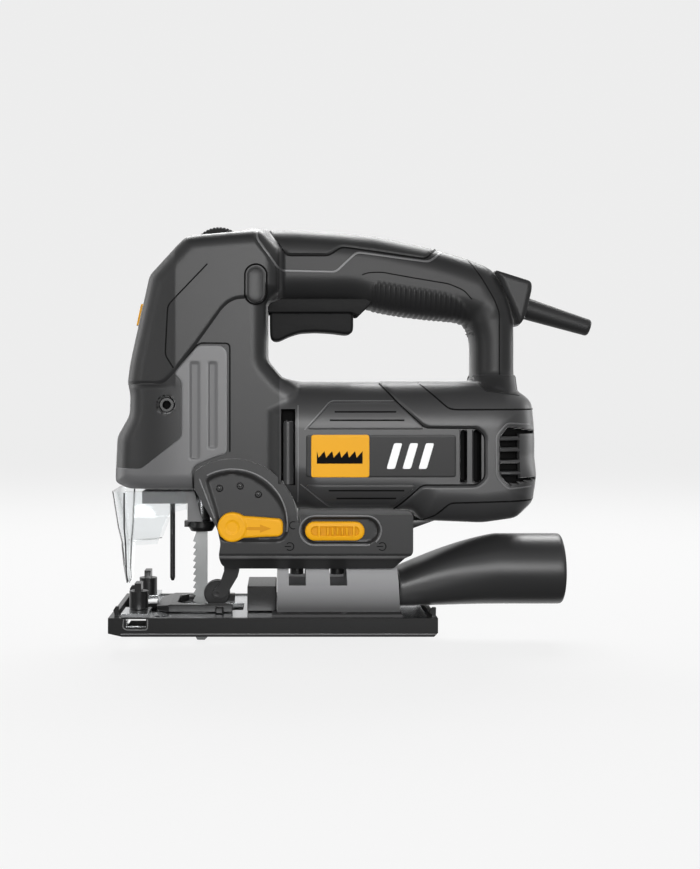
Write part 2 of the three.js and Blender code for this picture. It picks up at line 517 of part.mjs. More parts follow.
function baseTop() {
  const top = PLATE_Z + GAP;
  // splinter insert: a raised U round the blade, open to the rear
  const edge = [[-60.4, 13], [-54, 19.5], [-21, 19.5], [-21, 15], [-46, 15], [-50, SLOT_HALF]];
  let insert = plate([...edge.map(([x, y]) => [x, -y]), ...edge.reverse()], top, 12.8);
  insert = insert.subtract(slab([[-64, 13], [-64, 10.8], [-52, 13]], -30, 30));
  for (const y of [-23, 19.2]) insert = insert.add(box(-29.4, -25.8, y, y + 3.8, top, 11.6));
  add('splinter_insert', insert, 0x39383b, 0.5);
  // cradle: half tube with foot flanges and arc slots for the bevel bolts
  const z0 = top;
  let cradle = ring('x', CRADLE_R, CRADLE_R - CRADLE_WALL, 2, 64.4, [0, TILT_Z], 64).intersect(box(0, 70, -40, 40, z0, 60));
  for (const [y0, y1] of [[-35, -24.7], [24.7, 35]]) cradle = cradle.add(box(-0.5, 65, y0, y1, z0, z0 + 1.6));
  cradle = cradle.subtract(bar('x', CRADLE_R - CRADLE_WALL, -10, 80, [0, TILT_Z], CRADLE_R - CRADLE_WALL, 64));
  const wedge = [[0, TILT_Z], ...arc(0, TILT_Z, 60, 40, 140, 8)];
  for (const x of BOLT_X) cradle = cradle.subtract(rail(wedge, x - 4.4, x + 4.4));
  for (const x of [3.5, 36]) {
    for (const y of [-30.5, 30.5]) cradle = cradle.subtract(bar('z', 1.8, 0, 20, [x, y], 1.8, 20));
  }
  add('cradle', largest(cradle), 0x6f7073, 0.4, 0.6);
  // dust chute, a flat duct from the blade to the cradle
  add('dust_chute', box(-13.4, 1.7, -17, 17, z0, 21.8).subtract(box(-14, 3, -15, 15, z0 + 2, 19.8)), 0x2f2e31, 0.5);
  add('dust_port', dustPort(), 0x3a393c, 0.45);
  for (const [side, word] of [[-1, 'right'], [1, 'left']]) {
    const y = side * SCREW_Y;
    const [y0, y1] = side < 0 ? [-38.2, -18.4] : [18.4, 38.2];
    const zs = SOLE_H + GAP;
    const strap = box(-76, -62.6, y0, y1, zs, zs + 1.8)
      .add(box(-76, -74.2, Math.max(y0, -35), Math.min(y1, 35), z0, zs + 0.2))
      .add(box(-62.8, -62.6, Math.max(y0, -35), Math.min(y1, 35), z0, zs + 0.2));
    add('fence_strap_' + word, strap.subtract(bar('z', 2.9, 0, 20, [SCREW_X, y], 2.9, 24)), 0xbcbec0, 0.3, 0.9);
    // thumb screw: shank through the strap, round grip and a flat wing on top
    const c = [SCREW_X, y];
    const screw = bar('z', 2.5, 8.95, 13, c, 2.5, 24).add(bar('z', SCREW_R, zs + 2.1, 20.7, c))
      .add(box(SCREW_X - 1.7, SCREW_X + 1.7, y - 4.4, y + 4.4, 20, 24.9));
    add('fence_screw_' + word, screw, 0x2d2c2f, 0.55);
  }
}

// The port is lofted from a low oval behind the cradle to a round spigot at the rear.
function dustPort() {
  const tube = (wall, x0, x1) => {
    const g = new THREE.CylinderGeometry(1, 1, 1, 32, 9);
    const p = g.attributes.position;
    for (let i = 0; i < p.count; i++) {
      const t = 0.5 - p.getY(i);
      const x = x0 + (x1 - x0) * t;
      const u = THREE.MathUtils.smoothstep(x, 62, 120);
      const v = THREE.MathUtils.clamp((x - 67) / 50, 0, 1);
      const top = THREE.MathUtils.lerp(29.6, PORT_Z + PORT_R, 0.5 * (v + Math.sin((v * Math.PI) / 2)));
      const low = PORT_Z - PORT_R;
      const h = (top - low) / 2 - wall;
      const w = THREE.MathUtils.lerp(21, PORT_R, u) - wall;
      const n = THREE.MathUtils.lerp(3.2, 2, u);
      const a = Math.atan2(p.getZ(i), p.getX(i));
      const r = Math.hypot(p.getX(i), p.getZ(i));
      const c = Math.cos(a);
      const s = Math.sin(a);
      const k = r / Math.pow(Math.abs(c) ** n + Math.abs(s) ** n, 1 / n);
      p.setXYZ(i, x, k * w * c, (top + low) / 2 + k * h * s);
    }
    return solid(g);
  };
  const outer = tube(0, 66.8, 151.5);
  return outer.subtract(tube(PORT_WALL, 60, 156));
}

// ---------- controls ----------
function controls() {
  const yellow = [0xeeae26, 0.4];
  // orbit lever on its spindle
  const face = -FRAME_HALF - GAP;
  const tip = [[0, 5.6], [20, 5.0], [24, 4.4], [LEVER_L, 2.6], [LEVER_L, -2.6], [24, -4.4], [20, -5.2], [0, -6]]
    .map(([x, z]) => [LEVER_HUB[0] + x, LEVER_HUB[1] + z]);
  const lever = slab(tip, face - 3.6, face).add(bar('y', LEVER_R, face - 4.2, face, LEVER_HUB))
    .add(bar('y', 3.1, face - 1, -25, LEVER_HUB, 3.1, 24));
  add('orbit_lever', lever, ...yellow);
  let slider = slab(stadium(16.1, 46.1, 52.2, 4.75), -FRAME_HALF - 1.6, -FRAME_HALF + 1.7);
  for (let i = 0; i < 6; i++) {
    slider = slider.subtract(box(21.5 + i * 3.6, 23 + i * 3.6, -60, -FRAME_HALF - 1.1, 49.8, 54.6));
  }
  add('blower_slider', slider, ...yellow);
  // trigger, lock button, dial
  const trigger = [[-1.9, 171], [-1.9, 151], [0, 148.9], [3, 148.9], [8, 151.6], [14, 153.5], [30, 153.3],
    [39, 152.2], [41.7, 154.2], [41.7, 171]];
  add('trigger', slab(trigger, -9.6, 9.6).subtract(box(2, 38, -7.6, 7.6, 160, 175)), 0x2c2b2e, 0.6);
  add('lock_button', slab(lockOutline(0), -31.2, -21), 0x505053, 0.6);
  let dial = bar('y', DIAL_R, -4, 4, DIAL, DIAL_R, 48);
  for (let i = 0; i < 24; i++) {
    const t = THREE.MathUtils.degToRad(i * 15);
    dial = dial.subtract(bar('y', 0.6, -6, 6, [DIAL[0] + DIAL_R * Math.cos(t), DIAL[1] + DIAL_R * Math.sin(t)], 0.6, 8));
  }
  add('speed_dial', dial.subtract(bar('y', 2.6, -9, 9, DIAL, 2.6, 24)), 0x313033, 0.7);
}

function electrics() {
  add('switch_module', box(4, 38, -8.5, 8.5, 177.5, 192), 0x232325, 0.7);
  const spindle = bar('y', 2.4, -7.5, 7, DIAL, 2.4, 24);
  add('speed_module', box(-42, -16, 5, 9, 181, 200).add(spindle), 0x2b5a3a, 0.6);
  add('cord_boot', slab(BOOT, -14, 14).subtract(bar('x', 3.3, -70, 70, [0, 0], 3.3, 24)
    .rotate(0, 17.2, 0).translate(133.4, 0, 166.4)), 0x3d3c3f, 0.6);
  const sleeve = bar('x', 5.9, 0, 37.4, [0, 0], 4.3).subtract(bar('x', 3.3, -5, 50, [0, 0], 3.3, 24));
  add('cord_guard', sleeve.rotate(0, 17.2, 0).translate(131.6, 0, 167)
    .subtract(slab(inset(BOOT, -GAP), -20, 20)), 0x333235, 0.6);
  add('cord_clamp', box(100, 112, -9, 9, 168, 172).subtract(box(103, 109, -4, 4, 160, 180)), 0x29292b, 0.7);
  add('housing_screw', bar('y', 2, -21, 20, [-54.2, 115.7], 2, 24)
    .add(bar('y', 3.7, -24, -20.3, [-54.2, 115.7], 3.7, 24)), 0x8f9194, 0.35, 0.9);
  for (const [word, x] of [['front', BOLT_X[0]], ['rear', BOLT_X[1]]]) {
    add('bevel_bolt_' + word, bar('z', 2, SEAT_Z - 4.6, 48, [x, 0], 2, 24)
      .add(bar('z', 3.6, SEAT_Z - 4.6, SEAT_Z - 0.7, [x, 0], 3.6, 24)), 0x9b9da0, 0.35, 0.9);
  }
}

function guide() {
  // guide arm: a fork from its pivot down to the roller
  let arm = slab([[-26, 28], [-26, 46], [-18, 46], [-18, 28], [-18.8, 25], [-23, 18], [-24.5, 15],
    [-27.5, 13.2], [-31, 13.4], [-32.4, 16], [-31, 18.6], [-28.2, 21.4]], -ARM_HALF, ARM_HALF);
  arm = arm.subtract(box(-40, -21.5, -ROLLER_HALF - 0.4, ROLLER_HALF + 0.4, 0, 24.2))
    .subtract(bar('y', 2 + RUN, -9, 9, ARM_PIVOT, 2 + RUN, 24));
  arm = arm.subtract(bar('y', ROLLER_R + 0.5, -ROLLER_HALF - 0.4, ROLLER_HALF + 0.4, ROLLER));
  arm = arm.add(bar('y', 1.8, -ARM_HALF, ARM_HALF, ROLLER, 1.8, 24)).subtract(box(-45, -33.9, -2, 2, 0, 30));
  add('guide_arm', arm, 0x242326, 0.5);
  const roller = bar('y', ROLLER_R, -ROLLER_HALF, ROLLER_HALF, ROLLER)
    .subtract(ring('y', 9, 4.7, -1, 1, ROLLER)).subtract(bar('y', 1.8 + RUN, -9, 9, ROLLER, 1.8 + RUN, 24));
  add('guide_roller', roller, 0x1f1e20, 0.4, 0.5);
}

housingHalves();
grips();
sidePieces();
add('lower_frame', largest(lowerFrame()), 0x454547, 0.6);
drive();
plunger();
front();
base();
controls();
electrics();
guide();

export default group;
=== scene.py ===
"""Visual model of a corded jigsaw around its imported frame.

Lengths below are millimetres in the frame's axes and become metres when a mesh is built. X runs to
the rear, the blade is at -X, the operator's right flank is -Y and Z is up.
"""
import json
import math

import bmesh
import bpy
import numpy as np
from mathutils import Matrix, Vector


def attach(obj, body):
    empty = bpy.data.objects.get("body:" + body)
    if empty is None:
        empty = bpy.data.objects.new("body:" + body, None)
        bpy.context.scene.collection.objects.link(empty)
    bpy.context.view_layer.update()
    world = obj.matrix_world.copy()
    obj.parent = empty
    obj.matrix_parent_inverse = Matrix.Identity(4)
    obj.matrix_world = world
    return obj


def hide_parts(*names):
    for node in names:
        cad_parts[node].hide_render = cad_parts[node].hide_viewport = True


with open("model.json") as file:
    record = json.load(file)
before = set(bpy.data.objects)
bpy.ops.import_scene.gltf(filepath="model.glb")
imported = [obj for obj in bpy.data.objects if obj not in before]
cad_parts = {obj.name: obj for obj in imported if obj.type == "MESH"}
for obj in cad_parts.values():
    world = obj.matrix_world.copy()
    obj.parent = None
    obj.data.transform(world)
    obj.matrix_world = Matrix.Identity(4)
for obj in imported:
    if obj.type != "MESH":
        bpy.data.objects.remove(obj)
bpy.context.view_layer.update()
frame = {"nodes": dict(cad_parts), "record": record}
MM = 0.001

# half widths in Y
HEAD_HALF = 30
NECK_HALF = 17.8        # handle and rear leg
MOTOR_HALF = 34
FRAME_HALF = 32
RIM_HALF = 31.9         # where beads lie on the lower frame's rim
BASE_HALF = 38.45       # where beads lie on the overshoe's side

# places (x, z) of turning and round parts
SCREW = (-54.2, 115.7)
HUB = (-20.4, 54.4)
LOCK = (-8.7, 176.7)
DIAL = (-28.6, 194.9)
ROLLER = (-29.8, 16)

# ---------- outlines and fields ----------


def soften(points, cut=2.0, closed=True, steps=4):
    """Outline with rounded corners: each corner becomes a quadratic curve that starts and ends
    cut from it, or 0.45 of a side where that is shorter."""
    p = np.array(points, float)
    a, b = np.roll(p, 1, 0), np.roll(p, -1, 0)
    la = np.linalg.norm(a - p, axis=1)[:, None]
    lb = np.linalg.norm(b - p, axis=1)[:, None]
    start = p + (a - p) / la * np.minimum(cut, 0.45 * la)
    end = p + (b - p) / lb * np.minimum(cut, 0.45 * lb)
    t = np.linspace(0, 1, steps)[None, :, None]
    q = (1 - t) ** 2 * start[:, None] + 2 * t * (1 - t) * p[:, None] + t ** 2 * end[:, None]
    if closed:
        return q.reshape(-1, 2)
    return np.vstack([p[:1], q[1:-1].reshape(-1, 2), p[-1:]])


def depth_in(points, cut=0.0):
    """Field of a closed outline: distance to its nearest side, positive inside. The sign comes
    from the number of sides that a level ray crosses."""
    a = soften(points, cut) if cut else np.array(points, float)
    b = np.roll(a, -1, 0)
    side = b - a
    size = (side ** 2).sum(1)

    def field(x, z):
        px, pz = np.ravel(x)[:, None], np.ravel(z)[:, None]
        t = np.clip(((px - a[:, 0]) * side[:, 0] + (pz - a[:, 1]) * side[:, 1]) / size, 0, 1)
        d = np.hypot(px - a[:, 0] - t * side[:, 0], pz - a[:, 1] - t * side[:, 1]).min(1)
        rise = np.where(side[:, 1] == 0, 1e-9, side[:, 1])
        crossed = ((a[:, 1] > pz) != (b[:, 1] > pz)) & (px < a[:, 0] + (pz - a[:, 1]) * side[:, 0] / rise)
        return np.where(crossed.sum(1) % 2 == 1, d, -d).reshape(np.shape(x))

    return field


def merge(a, b, k):
    """Larger of two fields, blended where they differ by less than k."""
    h = np.clip(k - np.abs(a - b), 0, k) / k
    return np.maximum(a, b) + h * h * k / 4


def rounded(depth, half, r):
    """Height of a flank above the middle plane: half - r at its outline, rising along a quarter
    circle of radius r to half, and falling steeply outside the outline."""
    k = np.clip(r - depth, 0, r)
    return half - r + np.sqrt(np.maximum(r * r - k * k, 0)) + 3 * np.minimum(depth, 0)


def step_up(value, width=0.8):
    """Smooth step from 0 to 1 while value goes from 0 to width."""
    t = np.clip(value / width, 0, 1)
    return t * t * (3 - 2 * t)


HEAD = [
    [-42.9, 71.6], [-75, 71.6], [-82.8, 74.8], [-82.7, 81.5], [-81.8, 99.1], [-74.9, 110.5],
    [-74.6, 121.1], [-75.8, 125.6], [-75.4, 130], [-74.3, 137.8], [-64.1, 182.4], [-47.6, 199.4],
    [-44.5, 202.1], [-39.2, 203.0], [-20.3, 204.7], [-6, 205.6], [4, 195], [4, 174], [-2.6, 169],
    [-2.6, 138.6], [5.6, 129.1], [9, 127.7], [14, 124], [14, 71.6],
]
HANDLE = [
    [-14, 206.8], [10, 207.2], [35.3, 205.5], [52.9, 203.9], [85.8, 197], [101.2, 192.4],
    [114.8, 187.2], [122, 176], [126.2, 160], [114, 152], [99.4, 158.9], [75, 161.2], [55.4, 164.1],
    [45, 167.5], [40, 169.2], [-14, 169.2],
]
LEG = [[104.4, 116], [104.4, 150], [100.4, 162], [110, 176], [121, 176], [125.8, 160], [126, 150], [126, 116]]
MOTOR = [
    [-12, 63.5], [-12, 120], [6, 127.7], [112, 127.7], [121, 126], [130.2, 121], [134.2, 116.9],
    [135.4, 104.4], [135.7, 95.2], [135.2, 78], [133.4, 65.9], [124.6, 57.2], [107.2, 54.7],
    [74.8, 56], [71.4, 61.3], [0, 61.3],
]
FRAME_SIDE = [
    *[[-20.4 + 33.5 * math.cos(math.radians(a)), 55.7 + 33.5 * math.sin(math.radians(a))] for a in range(0, 121, 6)],
    [-40.4, 82.2], [-40.4, 73], [-28.8, 52.9], [-27.2, 45.2], [-28.4, 36.7], [-27.2, 32.6],
    [-24, 30.2], [62.5, 30.2], [71.4, 40.6], [71.4, 61], [13.1, 61],
]

head_edge = depth_in(HEAD, 2.5)
handle_edge = depth_in(HANDLE, 5)
leg_edge = depth_in(LEG, 5)
motor_edge = depth_in(MOTOR, 3)


def outline(x, z):
    """Depth inside the whole housing's outline: the four blended together, so that their inner
    corners are filleted."""
    return merge(merge(head_edge(x, z), merge(handle_edge(x, z), leg_edge(x, z), 5), 5), motor_edge(x, z), 5)


def motor_side(x, z):
    """Half width of the motor housing: it turns over a 24 radius, and over a tighter one below,
    behind the lower frame's quadrant."""
    return rounded(motor_edge(x, z), MOTOR_HALF, 24 - 7 * step_up(91 - z, 12) * step_up(x - 15, 8))


def flank(x, z):
    """Half width of the housing at a point of its side view, before any panel or groove. The head
    tapers straight above z 124 and rounds off below it, and the leg widens towards the motor."""
    upper = HEAD_HALF - 0.31 * np.clip(-49.6 - x, 0, 60)
    t = np.clip((-44 - x) / 46, 0, 0.98)
    lower = HEAD_HALF * (1 - t ** 2.2) ** 0.5
    nose = lower + (upper - lower) * step_up(z - 124, 3)
    head = rounded(head_edge(x, z), nose, np.minimum(9, nose - 2))
    handle = rounded(handle_edge(x, z), NECK_HALF, 14)
    leg = rounded(leg_edge(x, z), NECK_HALF, 11) + 9 * step_up(134 - z, 16)
    motor = motor_side(x, z)
    top = merge(merge(head, merge(handle, leg, 3), 4), motor, 1.5)
    return np.maximum(top, 3)


# ---------- meshes ----------


def volume(verts, faces):
    """Signed volume of a closed shell, from fans of triangles about the origin."""
    total = 0.0
    by_size = {}
    for f in faces:
        by_size.setdefault(len(f), []).append(f)
    for size, group in by_size.items():
        g = np.array(group)
        for k in range(1, size - 1):
            a, b, c = verts[g[:, 0]], verts[g[:, k]], verts[g[:, k + 1]]
            total += (a * np.cross(b, c)).sum() / 6
    return total


def outward(verts, faces):
    """The same shell with every face turned over if it encloses a negative volume."""
    if volume(verts, faces) < 0:
        faces = [tuple(reversed(f)) for f in faces]
    return verts, faces


def together(*shells):
    """Several closed shells in one list of points and faces."""
    verts, faces, first = [], [], 0
    for v, f in shells:
        verts.append(v)
        faces += [tuple(i + first for i in face) for face in f]
        first += len(v)
    return np.vstack(verts), faces


def mirrored(shell):
    """The shell on the other side of the middle plane, with its faces turned back outwards."""
    v, f = shell
    return v * np.array([1, -1, 1]), [tuple(reversed(face)) for face in f]


def lattice(edge, box, step):
    """Squares of a grid over box = (x0, x1, z0, z1) whose middles lie inside edge. Corners on the
    border of that set slide down the field's slope onto edge = 0. Returns points, faces, border."""
    xs = np.arange(box[0], box[1] + step, step)
    zs = np.arange(box[2], box[3] + step, step)
    X, Z = np.meshgrid(xs, zs, indexing="ij")
    keep = edge((X[:-1, :-1] + X[1:, 1:]) / 2, (Z[:-1, :-1] + Z[1:, 1:]) / 2) > 0
    n = np.arange(X.size).reshape(X.shape)
    quads = np.stack([n[:-1, :-1], n[1:, :-1], n[1:, 1:], n[:-1, 1:]], -1)[keep]
    used, faces = np.unique(quads, return_inverse=True)
    faces = faces.reshape(-1, 4)
    p = np.stack([X.ravel()[used], Z.ravel()[used]], 1)
    arms = np.concatenate([faces[:, [0, 1]], faces[:, [1, 2]], faces[:, [2, 3]], faces[:, [3, 0]]])
    code = arms[:, 0] * len(p) + arms[:, 1]
    back = arms[:, 1] * len(p) + arms[:, 0]
    border = arms[~np.isin(code, back)]
    rim = np.unique(border)
    h = 0.02
    for _ in range(5):
        x, z = p[rim, 0], p[rim, 1]
        d = edge(x, z)
        gx = (edge(x + h, z) - edge(x - h, z)) / (2 * h)
        gz = (edge(x, z + h) - edge(x, z - h)) / (2 * h)
        k = np.clip(d / np.maximum(gx * gx + gz * gz, 0.2), -step, step)
        p[rim] -= np.stack([k * gx, k * gz], 1)
    return p, faces, border


def slope_out(edge, p):
    """Unit direction in which the field falls, at each point."""
    x, z = p[:, 0], p[:, 1]
    h = 0.05
    g = np.stack([edge(x - h, z) - edge(x + h, z), edge(x, z - h) - edge(x, z + h)], 1)
    return g / np.maximum(np.linalg.norm(g, axis=1), 1e-6)[:, None]


def band(before, now, ends):
    """Quads between two copies of a border, given as the points' numbers in each. ends holds the
    border's pieces as pairs of places in those lists."""
    quads = np.stack([before[ends[:, 1]], before[ends[:, 0]], now[ends[:, 0]], now[ends[:, 1]]], 1)
    return [*map(tuple, quads)]


def relief(edge, face, box, step=0.8, grow=1.2, bend=None, across=(0.04, 0.12, 0.25, 0.55)):
    """Closed body with two mirrored flanks y = face(x, z) over the points where edge > grow, and a
    crowned band between them. Across the band the outline grows by grow times 1 - u cubed, where u
    is the distance from the middle as a share of the flank's height. grow is a number or a field,
    bend moves the band's points, and across places its rings, as shares of the height from a flank."""
    growth = grow if callable(grow) else (lambda x, z: np.full(np.shape(x), grow))
    p, quads, border = lattice(lambda x, z: edge(x, z) - growth(x, z), box, step)
    y = face(p[:, 0], p[:, 1])
    side = np.stack([p[:, 0], -y, p[:, 1]], 1)
    rim = np.unique(border)
    place = np.zeros(len(p), int)
    place[rim] = np.arange(len(rim))
    ends = place[border]
    out = slope_out(edge, p[rim])
    g = growth(p[rim, 0], p[rim, 1])[:, None]
    rings = []
    for u in [*(1 - np.array(across)), 0, *(np.array(across[::-1]) - 1)]:
        q = p[rim] + out * g * (1 - abs(u) ** 3)
        ring = np.stack([q[:, 0], -y[rim] * u, q[:, 1]], 1)
        rings.append(bend(ring) if bend else ring)
    other = side * np.array([1, -1, 1])
    verts = np.vstack([side, *rings, other])
    faces = [*map(tuple, quads)]
    before, base = rim, len(p)
    for _ in rings:
        now = base + np.arange(len(rim))
        faces += band(before, now, ends)
        before, base = now, base + len(rim)
    faces += band(before, base + rim, ends)
    faces += [*map(tuple, (quads + base)[:, ::-1])]
    return outward(verts, faces)


def patch(edge, face, box, step=0.8, round_=0.6, depth=2.0):
    """Closed plate on the right flank: its outer face is y = -face(x, z) where edge > round_, its
    border turns over a quarter circle of radius round_, and it is depth thick."""
    p, quads, border = lattice(lambda x, z: edge(x, z) - round_, box, step)
    y = face(p[:, 0], p[:, 1])
    rim = np.unique(border)
    place = np.zeros(len(p), int)
    place[rim] = np.arange(len(rim))
    ends = place[border]
    out = slope_out(edge, p[rim])
    points, faces = [np.stack([p[:, 0], -y, p[:, 1]], 1)], [*map(tuple, quads)]
    before, base = rim, len(p)
    for a in (30, 60, 90, None):
        t = math.radians(a or 90)
        q = p[rim] + out * round_ * math.sin(t)
        low = depth if a is None else round_ * (1 - math.cos(t))
        points.append(np.stack([q[:, 0], -y[rim] + low, q[:, 1]], 1))
        now = base + np.arange(len(rim))
        faces += band(before, now, ends)
        before, base = now, base + len(rim)
    points.append(np.stack([p[:, 0], -y + depth, p[:, 1]], 1))
    faces += band(before, base + rim, ends)
    faces += [*map(tuple, (quads + base)[:, ::-1])]
    return outward(np.vstack(points), faces)


def loft(rings, closed=False):
    """Skin over an array of rings (rings, points, 3). The ends are flat caps, or join up."""
    rings = np.asarray(rings, float)
    n, m = rings.shape[:2]
    i = np.arange(n if closed else n - 1)[:, None]
    j = np.arange(m)[None, :]
    k, l = (i + 1) % n, (j + 1) % m
    quads = np.stack(np.broadcast_arrays(i * m + j, i * m + l, k * m + l, k * m + j), -1).reshape(-1, 4)
    faces = [*map(tuple, quads)]
    if not closed:
        faces += [tuple(range(m - 1, -1, -1)), tuple(range((n - 1) * m, n * m))]
    return outward(rings.reshape(-1, 3), faces)


AXES = {"x": (1, 2, 0), "y": (0, 2, 1), "z": (0, 1, 2)}


def lathe(profile, axis, centre, segments=48):
    """Solid of revolution: profile is pairs (radius, place along the axis), from one end of the
    axis to the other. A radius of zero closes the end on a small flat."""
    prof = np.array(profile, float)
    a = np.linspace(0, 2 * math.pi, segments, endpoint=False)
    r = np.maximum(prof[:, 0], 0.02)[:, None]
    rings = np.zeros((len(prof), segments, 3))
    u, v, w = AXES[axis]
    rings[..., u] = centre[0] + r * np.cos(a)
    rings[..., v] = centre[1] + r * np.sin(a)
    rings[..., w] = prof[:, 1][:, None]
    return loft(rings)


def inset(points, d):
    """Closed outline with every corner moved inwards by d along its mitre."""
    p = np.array(points, float)
    a, b = np.roll(p, 1, 0), np.roll(p, -1, 0)
    turn = np.sign((p[:, 0] * b[:, 1] - b[:, 0] * p[:, 1]).sum())
    u = (p - a) / np.linalg.norm(p - a, axis=1)[:, None]
    v = (b - p) / np.linalg.norm(b - p, axis=1)[:, None]
    nu, nv = np.stack([-u[:, 1], u[:, 0]], 1) * turn, np.stack([-v[:, 1], v[:, 0]], 1) * turn
    n = nu + nv
    n /= np.linalg.norm(n, axis=1)[:, None]
    return p + n * d / np.maximum(0.5, (n * nu).sum(1))[:, None]


def slab(points, lo, hi, axis="y", round_=0.6, steps=4):
    """Outline pushed from lo to hi along an axis, its two rims turned over quarter circles of
    radius round_."""
    rings = []
    a = np.linspace(0, math.pi / 2, steps)
    for t in a:
        rings.append((inset(points, round_ * (1 - math.sin(t))), lo + round_ * (1 - math.cos(t))))
    for t in a[::-1]:
        rings.append((inset(points, round_ * (1 - math.sin(t))), hi - round_ * (1 - math.cos(t))))
    u, v, w = AXES[axis]
    out = np.zeros((len(rings), len(points), 3))
    for i, (q, level) in enumerate(rings):
        out[i, :, u], out[i, :, v], out[i, :, w] = q[:, 0], q[:, 1], level
    return loft(out)


def arc(cx, cz, r, start, end, steps):
    """Points of a circular arc, angles in degrees."""
    t = np.radians(np.linspace(start, end, steps + 1))
    return np.stack([cx + r * np.cos(t), cz + r * np.sin(t)], 1)


def stadium(x0, x1, z, r):
    """Bar outline with round ends."""
    return np.vstack([arc(x1 - r, z, r, -90, 90, 14), arc(x0 + r, z, r, 90, 270, 14)])


def resampled(points, step):
    """Points at even distances along an open path."""
    p = np.array(points, float)
    s = np.concatenate([[0], np.cumsum(np.linalg.norm(np.diff(p, axis=0), axis=1))])
    t = np.linspace(0, s[-1], max(2, int(s[-1] / step) + 2))
    return np.stack([np.interp(t, s, p[:, k]) for k in range(p.shape[1])], 1)


def bead(points, face, width=0.8, lift=0.08, cut=2.0, sink=0.5):
    """Closed ribbon carried along a path on the right flank: its section is a low arch, width
    across and lift above y = -face(x, z), with its underside sink below the surface."""
    p = resampled(soften(points, cut, closed=False), 1.2)
    t = np.gradient(p, axis=0)
    t /= np.linalg.norm(t, axis=1)[:, None]
    n = np.stack([-t[:, 1], t[:, 0]], 1)
    across = np.array([-0.5, -0.42, -0.2, 0.2, 0.42, 0.5, 0.4, -0.4]) * width
    height = np.array([-0.05, lift * 0.8, lift, lift, lift * 0.8, -0.05, -sink, -sink])
    q = p[:, None] + n[:, None] * across[None, :, None]
    y = -face(q[..., 0], q[..., 1]) - height
    return loft(np.stack([q[..., 0], y, q[..., 1]], -1))


# ---------- finishes ----------


def socket(shader, name, value):
    shader.inputs[name].default_value = value


def finish(name, colour, roughness=0.5, metallic=0.0, grain=0.0, grain_size=0.35, mottle=0.04,
           shine=0.5, rim=0.0, brushed=None, fade=None):
    """Opaque finish. Fine noise on Object coordinates gives the grain in relief and in roughness,
    broad noise shifts the colour a little, and brushed stretches the grain along an axis. shine is
    the specular level and rim the weight of the sheen. fade is (low, high, share), a painted shade:
    the colour is multiplied by share at the lower height and by 1 at the upper."""
    m = bpy.data.materials.new(name)
    m.use_nodes = True
    nodes, links = m.node_tree.nodes, m.node_tree.links
    shader = nodes["Principled BSDF"]
    where = nodes.new("ShaderNodeTexCoord")
    spread = nodes.new("ShaderNodeMapping")
    links.new(where.outputs["Object"], spread.inputs["Vector"])
    if brushed:
        spread.inputs["Scale"].default_value = brushed
    fine = nodes.new("ShaderNodeTexNoise")
    fine.inputs["Scale"].default_value = 1 / (grain_size * MM)
    fine.inputs["Detail"].default_value = 3
    links.new(spread.outputs["Vector"], fine.inputs["Vector"])
    broad = nodes.new("ShaderNodeTexNoise")
    broad.inputs["Scale"].default_value = 28
    broad.inputs["Detail"].default_value = 4
    links.new(where.outputs["Object"], broad.inputs["Vector"])
    tint = nodes.new("ShaderNodeValToRGB")
    dark = [c * (1 - mottle * 2) for c in colour]
    light = [min(1, c * (1 + mottle * 2)) for c in colour]
    tint.color_ramp.elements[0].position = 0.3
    tint.color_ramp.elements[0].color = (*dark, 1)
    tint.color_ramp.elements[1].position = 0.7
    tint.color_ramp.elements[1].color = (*light, 1)
    links.new(broad.outputs["Fac"], tint.inputs["Fac"])
    if fade:
        apart = nodes.new("ShaderNodeSeparateXYZ")
        links.new(where.outputs["Object"], apart.inputs["Vector"])
        ramp = nodes.new("ShaderNodeMapRange")
        ramp.inputs["From Min"].default_value = fade[0] * MM
        ramp.inputs["From Max"].default_value = fade[1] * MM
        ramp.inputs["To Min"].default_value = fade[2]
        links.new(apart.outputs["Z"], ramp.inputs["Value"])
        scaled = nodes.new("ShaderNodeVectorMath")
        scaled.operation = "SCALE"
        links.new(tint.outputs["Color"], scaled.inputs["Vector"])
        links.new(ramp.outputs["Result"], scaled.inputs["Scale"])
        links.new(scaled.outputs["Vector"], shader.inputs["Base Color"])
    else:
        links.new(tint.outputs["Color"], shader.inputs["Base Color"])
    rough = nodes.new("ShaderNodeMapRange")
    rough.inputs["To Min"].default_value = max(0.02, roughness - 0.08)
    rough.inputs["To Max"].default_value = min(1, roughness + 0.08)
    links.new(fine.outputs["Fac"], rough.inputs["Value"])
    links.new(rough.outputs["Result"], shader.inputs["Roughness"])
    bump = nodes.new("ShaderNodeBump")
    bump.inputs["Strength"].default_value = grain
    bump.inputs["Distance"].default_value = 0.0001
    links.new(fine.outputs["Fac"], bump.inputs["Height"])
    links.new(bump.outputs["Normal"], shader.inputs["Normal"])
    socket(shader, "Metallic", metallic)
    socket(shader, "Specular IOR Level", shine)
    socket(shader, "Sheen Weight", rim)
    socket(shader, "Sheen Roughness", 0.25)
    return m


def grey(v):
    """Linear value of a screen grey from 0 to 255, for red, green and blue alike."""
    c = v / 255
    c = c / 12.92 if c <= 0.04045 else ((c + 0.055) / 1.055) ** 2.4
    return (c, c, c * 1.02)


